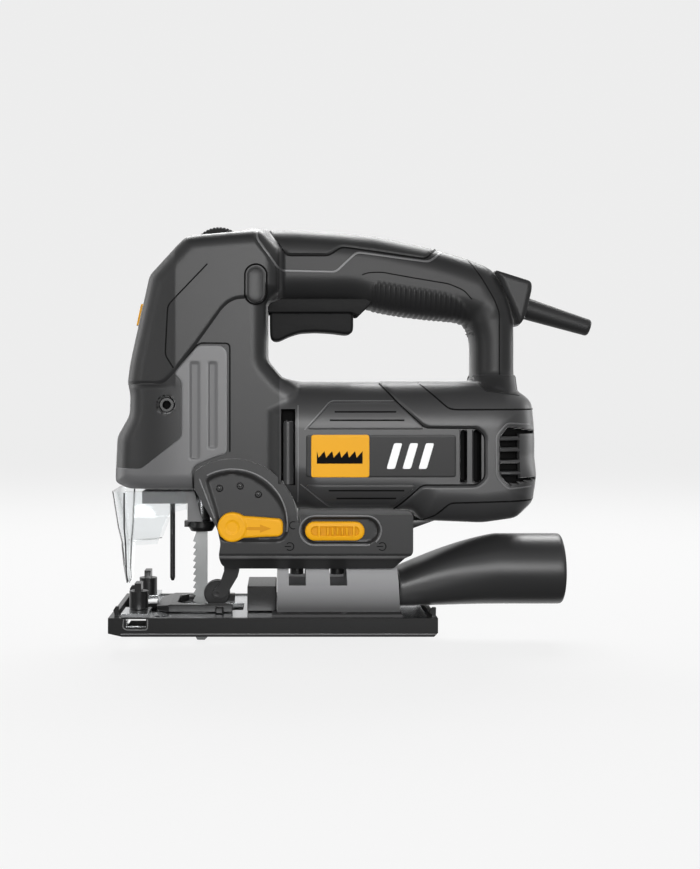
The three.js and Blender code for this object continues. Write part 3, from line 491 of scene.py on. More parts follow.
CHARCOAL = finish("charcoal plastic", grey(53), 0.4, grain=0.2, mottle=0.02, shine=0.34, rim=0.4)
# the next two are darker copies of the charcoal plastic, as painted shade: the first for the head, the second for the
# handle, rear leg and cord boot
HEAD_PAINTED_SHADE = finish("charcoal plastic, head in painted shade", grey(36), 0.42, grain=0.2, mottle=0.02, shine=0.26, rim=0.4)
GRIP_PAINTED_SHADE = finish("charcoal plastic, grip in painted shade", grey(38), 0.42, grain=0.25, mottle=0.02, shine=0.18, rim=0.4)
FRAME_PAINT = finish("frame plastic", grey(38), 0.42, grain=0.2, mottle=0.02, shine=0.25, rim=0.25)
SOFT = finish("soft overmould", grey(34), 0.5, grain=0.4, grain_size=0.5, mottle=0.03, shine=0.25, rim=0.25)
SOFT_DARK = finish("dark overmould", grey(22), 0.58, grain=0.4, grain_size=0.5, mottle=0.03, shine=0.1)
PORT = finish("port plastic", grey(44), 0.36, grain=0.15, mottle=0.02, shine=0.3, rim=0.25)
PANEL = finish("satin grey", grey(93), 0.4, grain=0.12, mottle=0.02, shine=0.35)
LABEL = finish("printed plate", grey(34), 0.38, grain=0.05, mottle=0.01, shine=0.15)
YELLOW = finish("yellow plastic", (0.76, 0.36, 0.008), 0.45, grain=0.1, mottle=0.015, shine=0.12)
# darker yellow: painted shade in the slider knob's sunk field; the lever's arrow uses it too
YELLOW_DARKER = finish("darker yellow", (0.6, 0.26, 0.006), 0.5, grain=0.1, mottle=0.015, shine=0.1)
BLACK = finish("satin black plastic", grey(24), 0.3, grain=0.12, mottle=0.02, shine=0.3)
# near black: painted shade deep in the air openings, the grille, the screw's socket and the fence channel, and also
# the printed saw on the labels
SHADE_AND_PRINT_BLACK = finish("near black for painted shade and print", grey(5), 0.8, mottle=0.0, shine=0.1)
SEAM = finish("seam shadow", grey(6), 0.7, mottle=0.0, shine=0.1)
# light grey for beads that carry painted highlights along ridges and edges
EDGE_HIGHLIGHT = finish("painted edge highlight", grey(88), 0.42, grain=0.1, mottle=0.01)
# the cradle's grey paint, darkened towards its foot as a painted shade of its curve
CRADLE_PAINTED_SHADE = finish("cradle paint, painted shade below", grey(176), 0.55, grain=0.1, mottle=0.015, shine=0.15, fade=(12, 30, 0.1))
STEEL = finish("bright steel", (0.5, 0.51, 0.52), 0.24, 1.0, grain=0.1, brushed=(0.1, 1, 1))
BLADE = finish("ground blade steel", (0.2, 0.205, 0.205), 0.34, 0.9, grain=0.2, brushed=(1, 1, 0.06))
ALLOY = finish("cast alloy", grey(150), 0.45, 0.8, grain=0.6, grain_size=0.8)
LAMINATION = finish("laminations", grey(120), 0.5, 0.7, grain=0.6, brushed=(6, 0.2, 0.2))
COPPER = finish("enamelled copper", (0.45, 0.14, 0.045), 0.32, 0.9, grain=0.5, brushed=(0.2, 3, 3))
BRONZE = finish("bronze", (0.42, 0.26, 0.09), 0.4, 0.9, grain=0.3)
CARBON = finish("carbon", grey(40), 0.75, grain=0.4)
CIRCUIT = finish("circuit board", (0.03, 0.12, 0.06), 0.5, grain=0.2)
CHALK = finish("white print", (0.86, 0.86, 0.86), 0.5, mottle=0.005)


def clear_finish():
    """Clear moulded plastic with full transmission, faintly tinted. The dark lines at the thick corners of its thin
    wall are painted on a separate piece.
    """
    m = finish("clear plastic", (0.95, 0.965, 0.97), 0.1, mottle=0.002)
    shader = m.node_tree.nodes["Principled BSDF"]
    socket(shader, "Transmission Weight", 1.0)
    socket(shader, "IOR", 1.4)
    return m


CLEAR = clear_finish()
# grey for the dark line along the guard's thick corners: a painted stand-in for refraction
REFRACTION_LINE = finish("painted refraction line", grey(58), 0.2, mottle=0.002)

BY_SLOT = {
    "housing_plastic": CHARCOAL, "soft_grip": SOFT, "panel_grey": PANEL, "label_dark": LABEL,
    "yellow_plastic": YELLOW, "black_plastic": BLACK, "clear_plastic": CLEAR, "frame_grey": FRAME_PAINT,
    "cradle_grey": CRADLE_PAINTED_SHADE, "bright_steel": STEEL, "blade_steel": BLADE, "cast_alloy": ALLOY,
    "lamination": LAMINATION, "copper": COPPER, "bronze": BRONZE, "carbon": CARBON, "circuit": CIRCUIT,
}
for part in frame["record"]["subparts"]:
    node = frame["nodes"][part["node"]]
    node.data.materials.clear()
    node.data.materials.append(BY_SLOT[part["material_slot"]])


SHARP = math.radians(32)


def build(name, shell, body, finishes, replaces=(), zone=None):
    """Makes a piece of the object from a shell in millimetres. zone(x, y, z) of the faces' middles
    picks among its finishes, and edges that turn by more than SHARP stay crisp."""
    verts, faces = shell
    mesh = bpy.data.meshes.new(name)
    mesh.from_pydata((verts * MM).tolist(), [], faces)
    finishes = finishes if isinstance(finishes, (list, tuple)) else [finishes]
    for f in finishes:
        mesh.materials.append(f)
    if zone:
        mid = np.zeros(len(mesh.polygons) * 3)
        mesh.polygons.foreach_get("center", mid)
        mid = mid.reshape(-1, 3) / MM
        mesh.polygons.foreach_set("material_index", zone(*mid.T).astype(np.int32))
    mesh.shade_smooth()
    mesh.set_sharp_from_angle(angle=SHARP)
    piece = bpy.data.objects.new(name, mesh)
    bpy.context.scene.collection.objects.link(piece)
    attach(piece, body)
    if replaces:
        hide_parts(*replaces)


# ---------- housing ----------
COVER = [[-90, 125.9], [-57.1, 125.8], [-54.2, 127.3], [-50.4, 131.1], [-38, 146.8], [-25.6, 164],
         [-22.7, 166.9], [-18.9, 168.8], [-13, 169.4], [2.6, 169.4], [2.9, 184.8], [-8.2, 200],
         [-8.4, 225], [-90, 225]]
PANEL_SIDE = [[-95, 68], [-40.9, 68], [-40.9, 82.6], [-39, 85.2], [-29, 89.4], [-23, 91], [-23, 143.2],
              [-26, 145.9], [-38, 145.9], [-50.2, 131.4], [-46.4, 127.6], [-46.4, 99.4], [-67, 83.2], [-95, 83.2]]
REAR = [[51, 132], [62.6, 117.3], [75, 105.4], [77, 104.2], [102.6, 104], [106.5, 100], [106.5, 79],
        [102.4, 75.4], [75, 75.3], [60.6, 61], [56, 40], [160, 40], [160, 132]]
GRILLE = [[113.8, 99.4], [118.4, 104.8], [133.6, 102.6], [133.6, 77.6], [118.4, 75.2], [113.8, 80.4]]
RIBS = [98.7, 93.1, 87.1, 81.4]     # heights of the rear grille's ribs
grille_edge = depth_in(GRILLE, 1)


def covering(base, proud, points):
    """Depth inside an outline, then the edge and the grow of a relief over that part of a body: it
    stands proud of the body's own edge, and its border is nearly square where the outline cuts it."""
    cut = depth_in(points, 2)
    edge = lambda x, z: np.minimum(base(x, z) + proud, cut(x, z))
    grow = lambda x, z: np.where(base(x, z) + proud < cut(x, z), 1.2, 0.2)
    return cut, edge, grow


def housing_face(x, z):
    """Flank with the tall air slot behind the head, the two louvres, the bed of the rear grille
    and the screw well sunk in it."""
    y = flank(x, z)
    slot = step_up(np.minimum(np.minimum(x - 4.0, 11.2 - x), np.minimum(z - 75.5, 113.6 - z)), 0.8)
    louvre = np.maximum(
        step_up(np.minimum(x - 94.0, 97.6 - x), 0.8),
        step_up(np.minimum(x - 100.6, 104.6 - x), 0.8),
    ) * step_up(np.minimum(z - 76.6, 103.2 - z), 0.8)
    well = step_up(4.6 - np.hypot(x - SCREW[0], z - SCREW[1]), 0.8)
    grille = step_up(grille_edge(x, z) + 0.4, 0.7)
    return y - 7 * slot - 5 * louvre - 9 * well - 7 * grille


def housing_zone(x, y, z):
    """1 where a face lies deep in an air opening, which takes painted shade; 2 on the handle and its
    rear leg and 3 on the head, which take darker copies of the charcoal as painted shade; 0 elsewhere."""
    slot = (x > 4.2) & (x < 11) & (z > 75.5) & (z < 113.6)
    louvre = (((x > 94.1) & (x < 97.5)) | ((x > 100.7) & (x < 104.5))) & (z > 76.6) & (z < 103.2)
    grille = grille_edge(x, z) > 0
    deep = (slot | louvre | grille) & (np.abs(y) > 8) & (np.abs(y) < 32)
    grip = ((x > 5) & (z > 150)) | ((x > 92) & (z > 127.2) & (np.abs(y) < 28))
    return np.where(deep, 1, np.where(grip, 2, np.where(x < 3, 3, 0)))


build("housing_shell", relief(outline, housing_face, (-84, 140, 52, 210)), "machine",
      [CHARCOAL, SHADE_AND_PRINT_BLACK, GRIP_PAINTED_SHADE, HEAD_PAINTED_SHADE], ("housing_right", "housing_left"), zone=housing_zone)

cover_cut, cover_edge, cover_grow = covering(outline, 0.35, COVER)
cover_face = lambda x, z: flank(x, z) + 0.9 * step_up(cover_cut(x, z) - 0.2, 1.7)
# the head cover in the head's darker charcoal, a painted shade
build("head_cover", relief(cover_edge, cover_face, (-84, 5, 124, 210), 0.7, cover_grow), "machine",
      HEAD_PAINTED_SHADE)

rear_cut, rear_edge, rear_grow = covering(motor_edge, 0.3, REAR)


def rear_face(x, z):
    """Motor cap: proud of the body, with the rear grille sunk in it behind four ribs."""
    y = motor_side(x, z) + 0.9 * step_up(rear_cut(x, z), 1.4)
    hexagon = step_up(grille_edge(x, z), 0.7)
    ribs = np.max([step_up(1.35 - np.abs(z - r), 0.6) for r in RIBS], 0)
    block = step_up(np.minimum(x - 123.7, np.minimum(z - 78.4, 101.6 - z)), 0.7)
    return y - hexagon * (6 - 5.4 * np.maximum(ribs, block))


def rear_zone(x, y, z):
    """1 in the openings between the ribs of the rear grille, which take painted shade, 0 elsewhere."""
    ribs = np.min([np.abs(z - r) for r in RIBS], 0) < 1.0
    block = (x > 124.2) & (z > 78.8) & (z < 101.2)
    return ((grille_edge(x, z) > 0.5) & ~ribs & ~block & (np.abs(y) > 10)).astype(int)


build("motor_cap", relief(rear_edge, rear_face, (52, 140, 52, 130), 0.62, rear_grow), "machine",
      [CHARCOAL, SHADE_AND_PRINT_BLACK], zone=rear_zone)


def both(shell):
    """The shell and its mirror image as one mesh."""
    return together(shell, mirrored(shell))


def seams(name, paths, face, width=0.8, lift=0.07, colour=SEAM, cut=2.0, body="machine"):
    """Thin beads along paths on both flanks: dark ones read as joints, light ones carry painted highlights along the
    edges of mouldings.
    """
    build(name, together(*[both(bead(p, face, width, lift, cut)) for p in paths]), body, colour)


# joints and ridges of the head and the handle
seams("cover_joint", [[[-33.2, 187], [-53.3, 166], [-54.7, 141], [-50.4, 134.4]]], cover_face, 0.8)
seams("handle_joint", [
    [[101.2, 191.6], [107.4, 181.5], [113.7, 170.8], [116.6, 163], [116.6, 129.8], [118, 127.2], [123.5, 126.8]],
    [[45.8, 182.6], [49, 183.8], [56, 184], [73, 180.9], [90.6, 178], [98.4, 174.6], [102.5, 170]],
], flank, 0.7)
# the ridge along the handle, a light bead as painted highlight
seams("handle_ridge", [
    [[-8.4, 205.6], [-8.2, 200], [2.9, 184.8], [32.2, 184.1], [43.1, 194.4], [80.2, 189.4],
     [84.3, 192.2], [87.6, 195.2]],
], flank, 1.1, 0.25, EDGE_HIGHLIGHT)
seams("motor_joint", [
    [[74.6, 126.9], [88, 114.2], [91, 113.3], [136, 113.4]],
    [[75.5, 56.6], [82, 59.6], [89, 66.3], [134.6, 67.6]],
], rear_face, 0.9)
REAR_LINE = [[54.5, 126.6], [62.6, 117.3], [75, 105.4], [77, 104.2], [102.6, 104], [106.5, 100], [106.5, 79],
             [102.4, 75.4], [75, 75.3], [61.5, 62.4]]
seams("cap_joint", [REAR_LINE], flank, 1.0, 0.12)
# a light bead round the rear grille, a painted highlight on its rim
seams("grille_rim", [[[131, 105.6], [117.6, 106.6], [112, 100.2], [112, 79.8], [117.6, 73.4], [131, 74.6]]],
      rear_face, 0.8, 0.35, EDGE_HIGHLIGHT)

# side panels over the gear case, with two ribbed channels each
panel_cut = depth_in(PANEL_SIDE, 2)
panel_edge = lambda x, z: np.minimum(panel_cut(x, z), head_edge(x, z) - 1.2)


def panel_face(x, z):
    """Flank raised by 0.7, with two upright channels that have a deeper left edge."""
    y = flank(x, z) + 0.7
    for left, right, foot in ((-42, -37, 88), (-32.8, -28.3, 93.5)):
        t = np.clip((x - left) / (right - left), 0, 1)
        channel = step_up(x - left, 0.5) * (1 - step_up(x - right + 0.9, 0.9)) * (0.75 - 0.35 * t)
        y = y - channel * step_up(z - foot, 1) * step_up(137.5 - z, 1)
    return y


panel = patch(panel_edge, panel_face, (-84.05, -22, 70, 147), 0.65, 0.5)
SIDES = (("right", lambda shell: shell), ("left", mirrored))
for word, turn in SIDES:
    build("panel_" + word, turn(panel), "machine", PANEL, ("side_panel_" + word,))

# label plates with a plain yellow block and plain bars on them
LABEL_AREA = [[16.6, 79.3], [92, 79.3], [92, 100.7], [16.6, 100.7]]
BLOCK_AREA = [[19.2, 79.3], [48.4, 79.3], [48.4, 100.7], [19.2, 100.7]]


def level(y):
    """Field of a flat face at height y."""
    return lambda x, z: np.full(np.shape(x), float(y))


def tile(points, y, cut=1.2):
    """Thin flat plate over an outline."""
    x, z = zip(*points)
    box = (min(x) - 1, max(x) + 1, min(z) - 1, max(z) + 1)
    return patch(depth_in(points, cut), level(y), box, 1.0, 0.2, 0.6)


for word, turn in SIDES:
    build("label_" + word, turn(tile(LABEL_AREA, MOTOR_HALF + 0.2, 1.4)), "machine", LABEL,
          ("label_plate_" + word,))
    build("label_block_" + word, turn(tile(BLOCK_AREA, MOTOR_HALF + 0.4)), "machine", YELLOW)
    teeth = [[22, 86.2], [45, 86.2], [45, 92.5]]
    for k in range(6):
        teeth += [[45 - 3.83 * k - 3.0, 89.2], [45 - 3.83 * k - 3.83, 92.5]]
    saw = slab(teeth, -MOTOR_HALF - 0.6, -MOTOR_HALF - 0.2, "y", 0.05, 2)
    # the saw is printed, in the same near black
    build("label_saw_" + word, turn(saw), "machine", SHADE_AND_PRINT_BLACK)
    bars = [turn(tile([[x, 83.5], [x + 4.2, 83.5], [x + 8, 96.5], [x + 3.8, 96.5]], MOTOR_HALF + 0.4, 0.8))
            for x in (57, 65, 73)]
    build("label_bars_" + word, together(*bars), "machine", CHALK)

# raised fields above and below the label, with tapered flutes
UPPER = [[16.6, 103.4], [29.4, 117], [62, 117], [75, 105], [76, 103.4]]
LOWER = [[14.6, 75.6], [29, 64.2], [60, 64.2], [73, 75.6]]
raised = lambda x, z: flank(x, z) + 0.7
for name, points in (("flute_upper", UPPER), ("flute_lower", LOWER)):
    shape = patch(depth_in(points, 1), raised, (12, 78, 62, 119), 0.8, 0.5)
    build(name, both(shape), "machine", CHARCOAL)
seams("flutes", [
    [[31, 112.2], [62, 112.2]], [[28.5, 108], [66, 108]], [[28, 72.6], [66, 72.6]], [[32, 68.5], [62, 68.5]],
], raised, 0.9, 0.06)
# light beads along the slot's frame and the raised fields, painted highlights on their edges
seams("slot_frame", [
    [[12.6, 66], [12.6, 115.5]], [[15.8, 103.2], [29, 117.8], [61, 117.8]], [[13.8, 75.8], [28.6, 63.6], [59, 63.4]],
], flank, 0.6, 0.1, EDGE_HIGHLIGHT)
seams("head_joint", [[[-21.9, 92], [-21.9, 146.8], [-37.5, 147], [-52, 131]]], flank, 0.9)

# foot of the rear leg over the motor, in the grip's darker charcoal as painted shade
foot_cut = depth_in([[103.6, 131], [104.6, 126.6], [108, 122.3], [126.8, 120], [127.2, 131]], 0.6)
build("leg_foot", both(patch(foot_cut, lambda x, z: np.maximum(flank(x, z), rear_face(x, z)) + 0.5,
                             (102, 128.5, 118, 133), 0.6, 0.5, 3)), "machine", GRIP_PAINTED_SHADE)

# grips
TOP = [[-1.8, 220], [-1.8, 206], [6.9, 192.6], [28.7, 192.6], [35.4, 197.2], [78.7, 191.1], [85.4, 197.4], [87, 220]]
top_cut, top_edge, top_grow = covering(outline, 0.4, TOP)
build("grip_top", relief(top_edge, lambda x, z: flank(x, z) + 0.7 * step_up(top_cut(x, z) - 0.1, 1.3),
                         (-4, 90, 188, 211), 0.65, top_grow), "machine", SOFT, ("top_grip",))
seams("grip_joint", [TOP[1:7]], flank, 1.1, 0.12)
UNDER = [[48, 150], [48.4, 172], [50, 178.6], [54, 180.4], [73, 177], [90, 174.4], [97, 171], [103.4, 163.5],
         [104.6, 150]]
under_cut = depth_in(UNDER, 3)
wave = lambda x: 0.5 + 0.5 * np.cos(2 * math.pi * x / 2.6)
under_edge = lambda x, z: np.minimum(outline(x, z) - 0.2 + 0.7 * wave(x + 0.25 * (z - 160)), under_cut(x, z))
under_grow = lambda x, z: np.where(outline(x, z) < under_cut(x, z), 1.2, 0.2)
build("grip_under", relief(
    under_edge, lambda x, z: flank(x, z) + (0.05 + 0.75 * wave(x)) * step_up(under_cut(x, z) - 0.3, 2.5),
    (46, 106, 150, 182), 0.52, under_grow), "machine", SOFT, ("under_grip",))

# ---------- lower frame ----------
frame_edge = depth_in(FRAME_SIDE, 1.5)
slot_cut = depth_in(stadium(14.6, 53.6, 52.3, 6.6))
halo = depth_in([[-27, 46.8], [-4, 46.2], [5.2, 46.6], [8.2, 52], [6.8, 62], [3, 69], [-3, 75.6], [-11, 80.6],
                 [-20.4, 82.6], [-29, 81], [-34.5, 78.2], [-29, 60.5]], 3)


def frame_face(x, z):
    """Flank over a two-slope chamfer along its foot. The lever's field is sunk 1.1 inside the
    quadrant's rim and the slider's slot 1.7."""
    y = np.interp(z, [30.2, 36.8, 39.6, 60], [15.4, 22, 31.6, FRAME_HALF])
    return y - 1.1 * step_up(halo(x, z), 1.6) - 1.7 * step_up(slot_cut(x, z), 1.0)


def frame_bend(ring):
    """Hollows the saddle under the frame and the way for the plunger in its front edge."""
    x, y, z = ring.T
    saddle = 5 + np.sqrt(np.maximum(28.6 ** 2 - y ** 2, 0))
    z = np.where((z < 34) & (np.abs(y) < 14.5), np.maximum(z, saddle), z)
    x = np.where((x < -28) & (z > 47) & (np.abs(y) < 12.6), -28.2, x)
    return np.stack([x, y, z], 1)


build("frame_shell", relief(frame_edge, frame_face, (-42, 72, 29, 90), 0.7, 0.7, frame_bend,
                            (0.03, 0.1, 0.25, 0.55, 0.6, 0.607, 0.7, 0.8)),
      "machine", FRAME_PAINT, ("lower_frame",))
quadrant_rim = arc(-20.4, 55.7, 27.6, -8, 118, 40)
slot_rim = stadium(13.4, 54.6, 52.3, 7.4)
# light beads on the quadrant's rim, the stop and the slot's rim: painted highlights on these ridges
seams("frame_ridges", [quadrant_rim, [[-37.2, 78.4], [-29.6, 58.6]], [*slot_rim[3:], *slot_rim[:2]]],
      level(RIM_HALF), 0.8, 0.25, EDGE_HIGHLIGHT, 0.5)
DOT = [(0, -30.4), (1.9, -30.4), (1.9, -31.1), (1.55, -31.25), (1.25, -30.95), (0.8, -30.95), (0.6, -31.3),
       (0, -31.35)]
dots = [lathe(DOT, "y", place, 24) for place in ((-27, 73.6), (-16.6, 74.8), (-7.4, 70.6))]
build("stop_marks", together(*dots), "machine", BLACK)

# ---------- controls ----------
lever_edge = depth_in([*arc(*HUB, 7.5, 66, 308, 26), [-15, 48.9], [3, 49.7], [4.9, 51.2], [5.1, 56.6],
                       [3.6, 58.6], [-8, 59.5], [-14.6, 59.9], [-17.2, 61.4]], 0.8)


def lever_face(x, z):
    """Flat lever with a raised disc at its hub and a dished middle."""
    r = np.hypot(x - HUB[0], z - HUB[1])
    return 35.6 + 0.5 * step_up(7.4 - r, 1.0) - 0.35 * step_up(3.5 - r, 0.6)


lever = patch(lever_edge, lever_face, (-29, 6, 46, 63), 0.45, 1.0, 3.3)
spindle = lathe([(0, -33.2), (3, -33.2), (3, -25.2), (0, -25)], "y", HUB, 32)
build("lever_arm", together(lever, spindle), "lever", YELLOW, ("orbit_lever",))
arrow = [[-14.3, 52.9], [-6.5, 52.9], [-6.5, 51.6], [-1, 53.7], [-6.5, 55.8], [-6.5, 54.5], [-14.3, 54.5]]
build("lever_arrow", slab(arrow, -35.68, -35.2, "y", 0.08, 2), "lever", YELLOW_DARKER)
KNOB_Z = 52.1
knob_edge = depth_in(stadium(16.1, 46.2, KNOB_Z, 4.8))
knob_field = depth_in(stadium(18.8, 43.6, KNOB_Z, 2.6))
ribs_at = np.array([23.2, 27.6, 30, 32.4, 34.8, 37.2, 40.6])


def knob_face(x, z):
    """Crowned bar with a sunk field that holds seven upright ribs, the end ones taller."""
    near = np.abs(x[..., None] - ribs_at)
    tall = np.isin(near.argmin(-1), (0, len(ribs_at) - 1))
    rib = step_up(0.85 - near.min(-1), 0.5) * step_up(np.where(tall, 2.6, 2.1) - np.abs(z - KNOB_Z), 0.4)
    return 33.1 + 0.4 * step_up(knob_edge(x, z), 3) - 0.8 * step_up(knob_field(x, z), 0.6) * (1 - rib)


def knob_zone(x, y, z):
    """1 on the sunk field between the ribs, which takes the darker yellow as painted shade, 0 elsewhere."""
    return ((knob_field(x, z) > 0.3) & (y > -33.2) & (y < -32.4)).astype(int)


build("slider_knob", patch(knob_edge, knob_face, (15, 47.5, 46, 58), 0.36, 0.9, 3.0), "blower",
      [YELLOW, YELLOW_DARKER], ("blower_slider",), zone=knob_zone)


def stretched(points):
    """Round points about the lock button's middle, pulled apart upwards and downwards into a pill."""
    points[..., 2] += np.where(points[..., 2] > LOCK[1], 4.5, -4.5)
    return points


CAP = [(0, -21), (4.9, -21), (4.9, -30.2), (4.5, -31), (3.7, -31.2), (3.2, -31.0), (0, -31.0)]
v, f = lathe(CAP, "y", LOCK, 40)
# the lock button's cap in the head's darker charcoal, a painted shade
build("lock_cap", (stretched(v), f), "lock", HEAD_PAINTED_SHADE, ("lock_button",))
RIM = [(5.1, -30.6), (5.9, -30.6), (6.0, -31.3), (5.6, -31.6), (5.2, -31.3)]
v, f = lathe(RIM, "y", LOCK, 40)
rim_rings = stretched(v.reshape(len(RIM), 40, 3).swapaxes(0, 1))
build("lock_rim", loft(rim_rings, closed=True), "machine", SEAM)

TRIGGER = [[-1.9, 171], [-1.9, 157], [-1.7, 150.6], [0.2, 148.9], [3, 148.9], [8, 151.4], [14, 153.3], [22, 153.7],
           [30, 153.3], [38.6, 152.2], [41, 153], [41.8, 155], [41.8, 171]]
build("trigger_blade", slab(soften(TRIGGER, 2.2, steps=5), -9.8, 9.8, "y", 1.6, 6), "switch",
      SOFT_DARK, ("trigger",))
# the housing's lip around the trigger, in the dark overmould finish as painted shade for the shadow band over the
# trigger
LIP = [[-5.5, 171], [-5.5, 165.6], [-3.4, 163.4], [41, 163.4], [44.2, 161.4], [47.4, 164.6], [51, 168], [51, 171]]
build("trigger_lips", both(slab(soften(LIP, 1.6), -13.2, -10.5, "y", 0.8)), "machine", SOFT_DARK)

# thumb wheel with 48 rounded teeth
around = 2 * math.pi * np.arange(288) / 288
wheel = []
for y, r in ((-4, 13.4), (-3.4, 14.1), (-2, 14.45), (2, 14.45), (3.4, 14.1), (4, 13.4)):
    k = r - 0.35 * (0.5 + 0.5 * np.cos(48 * around)) ** 2 * (abs(y) < 3.9)
    wheel.append(np.stack([DIAL[0] + k * np.cos(around), np.full(288, y), DIAL[1] + k * np.sin(around)], 1))
build("dial_wheel", loft(wheel), "dial", SOFT_DARK, ("speed_dial",))

# ---------- cord exit ----------
BOOT = [[114.6, 186.8], [134.0, 180.7], [135.2, 178.6], [135.2, 175.4], [131.9, 161.5], [129.6, 157.6], [127.2, 156],
        [126.2, 160], [120, 174]]
boot_edge = depth_in(BOOT, 2)
# the cord boot in the grip's darker charcoal, a painted shade
build("boot", relief(boot_edge, lambda x, z: rounded(boot_edge(x, z), 13.6, 3.5), (113, 137, 154, 188), 0.6, 0.8),
      "machine", GRIP_PAINTED_SHADE, ("cord_boot",))
# strain relief: it leaves the boot at SLEEVE_START, falls by 17.2 degrees and ends on a hollow mouth
SLEEVE_START, SLEEVE_LENGTH = np.array([131.6, 167]), 37.2
droop = math.radians(-17.2)
along, up = np.array([math.cos(droop), math.sin(droop)]), np.array([-math.sin(droop), math.cos(droop)])
taper = [(u, 5.85 - 1.45 * u) for u in np.linspace(0.04, 0.97, 26)]
circle = np.linspace(0, 2 * math.pi, 40, endpoint=False)
sleeve = []
for u, r in [(0, 5.8), *taper, (0.99, 4.1), (1.0, 3.6), (0.97, 3.2)]:
    c = SLEEVE_START + u * SLEEVE_LENGTH * along
    rise = r * np.sin(circle)
    sleeve.append(np.stack([c[0] + up[0] * rise, r * np.cos(circle), c[1] + up[1] * rise], 1))
build("sleeve", loft(sleeve), "machine", SOFT, ("cord_guard",))

# ---------- dust port ----------
PORT_LOW, PORT_NECK, PORT_TOP = 10.35, 29.6, 47.35      # underside, top behind the cradle, top at the mouth


def port_ring(x, wall=0.0, segments=72):
    """Section of the port: a superellipse that turns from a low oval behind the cradle into a circle."""
    u = step_up(x - 62, 58)
    v = min(max((x - 67) / 50, 0), 1)
    top = PORT_NECK + (PORT_TOP - PORT_NECK) * 0.5 * (v + math.sin(v * math.pi / 2))
    n = 3.2 - 1.2 * u
    a = np.linspace(0, 2 * math.pi, segments, endpoint=False)
    c, s = np.cos(a), np.sin(a)
    k = (np.abs(c) ** n + np.abs(s) ** n) ** (-1 / n)
    w, h = 21 - 2.5 * u - wall, (top - PORT_LOW) / 2 - wall
    return np.stack([np.full(segments, x), k * w * c, (top + PORT_LOW) / 2 + k * h * s], 1)


outer = [port_ring(x, wall) for x, wall in [
    (65.1, 0.7), (65.2, 0.2), (65.7, 0), *[(x, 0) for x in np.linspace(67, 149.6, 45)],
    (150.8, 0.15), (151.3, 0.5), (151.5, 1.0)]]
inner = [port_ring(x, 2) for x in np.linspace(150.8, 65.2, 20)]
build("port", loft(outer + inner, closed=True), "base", PORT, ("dust_port",))

# ---------- clear guard ----------


def guard_half(z):
    """Half width of the guard: a wide skirt above and a narrow tongue below."""
    return np.interp(z, [22, 42, 52, 71.5], [7, 12.5, 20, 24])


def guard_ring(z, wall=1.5):
    """Section of the guard at one height: a U with round corners, open to the rear."""
    half = guard_half(z)
    front = np.interp(z, [20, 31, 45, 71.2], [-77, -78.7, -79.6, -83])
    rear = np.interp(z, [20, 30, 42.4, 43.4, 52.5, 60, 62, 71.2], [-75.4, -75.2, -75, -60.2, -57, -53.5, -44.5, -44.5])
    sides = []
    for d in (0, wall):
        f = min(front + d, rear - 0.12)
        w = half - d
        r = min(max(5.5 - d, 0.4), 0.9 * (rear - f), 0.6 * w)
        arm = np.stack([np.linspace(rear, f + r, 6), np.full(6, -w)], 1)
        turn = np.radians(np.linspace(270, 180, 8)[1:])
        corner = np.stack([f + r + r * np.cos(turn), -w + r + r * np.sin(turn)], 1)
        path = np.vstack([arm, corner])
        sides.append(np.vstack([path, path[::-1] * np.array([1, -1])]))
    ring = np.vstack([sides[0], sides[1][::-1]])
    return np.column_stack([ring, np.full(len(ring), z)])


GUARD_LEVELS = [71.2, 69, 66, 63, 62, 61, 60, 57, 54, 52, 49, 46, 44.4, 43.4, 42.9, 42.4, 41, 38, 34, 31, 28,
                25, 23, 22]
build("guard_shield", loft([guard_ring(z) for z in GUARD_LEVELS]), "machine", CLEAR,
      ("clear_guard",))
# painted dark line in place of the refraction that the thick corner of each side shows
edge_line = []
for z in np.linspace(70.6, 22.6, 34):
    x = np.interp(z, [20, 26, 43, 70.6], [-75.9, -76.9, -76.8, -76.2])
    y = 0.75 - guard_half(z)
    edge_line.append(np.column_stack([x + 0.42 * np.cos(circle), y + 0.42 * np.sin(circle), np.full(len(circle), z)]))
build("guard_edges", both(loft(edge_line)), "machine", REFRACTION_LINE)

# ---------- shapes kept from the frame, with their edges eased ----------


def eased(node, width, shade=None):
    """A copy of a node's own mesh with its doubles merged, flat neighbours joined and its edges
    rounded by a bevel of the given width."""
    source = frame["nodes"][node]
    mesh = source.data.copy()
    bm = bmesh.new()
    bm.from_mesh(mesh)
    bmesh.ops.remove_doubles(bm, verts=bm.verts, dist=1e-6)
    bmesh.ops.dissolve_limit(bm, angle_limit=math.radians(0.6), verts=bm.verts, edges=bm.edges)
    bm.to_mesh(mesh)
    bm.free()
    mesh.shade_smooth()
    mesh.set_sharp_from_angle(angle=math.radians(30))
    piece = bpy.data.objects.new(node + "_eased", mesh)
    bpy.context.scene.collection.objects.link(piece)
    mod = piece.modifiers.new("edge", "BEVEL")
    mod.width, mod.segments, mod.limit_method = width * MM, 2, "ANGLE"
    mod.angle_limit = math.radians(32)
    mod.use_clamp_overlap = True
    body = next(b for b, members in frame["record"]["behaviour"]["bodies"].items() if node in members)
    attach(piece, body)
    if shade:
        mesh.materials.clear()
        mesh.materials.append(shade)
    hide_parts(node)


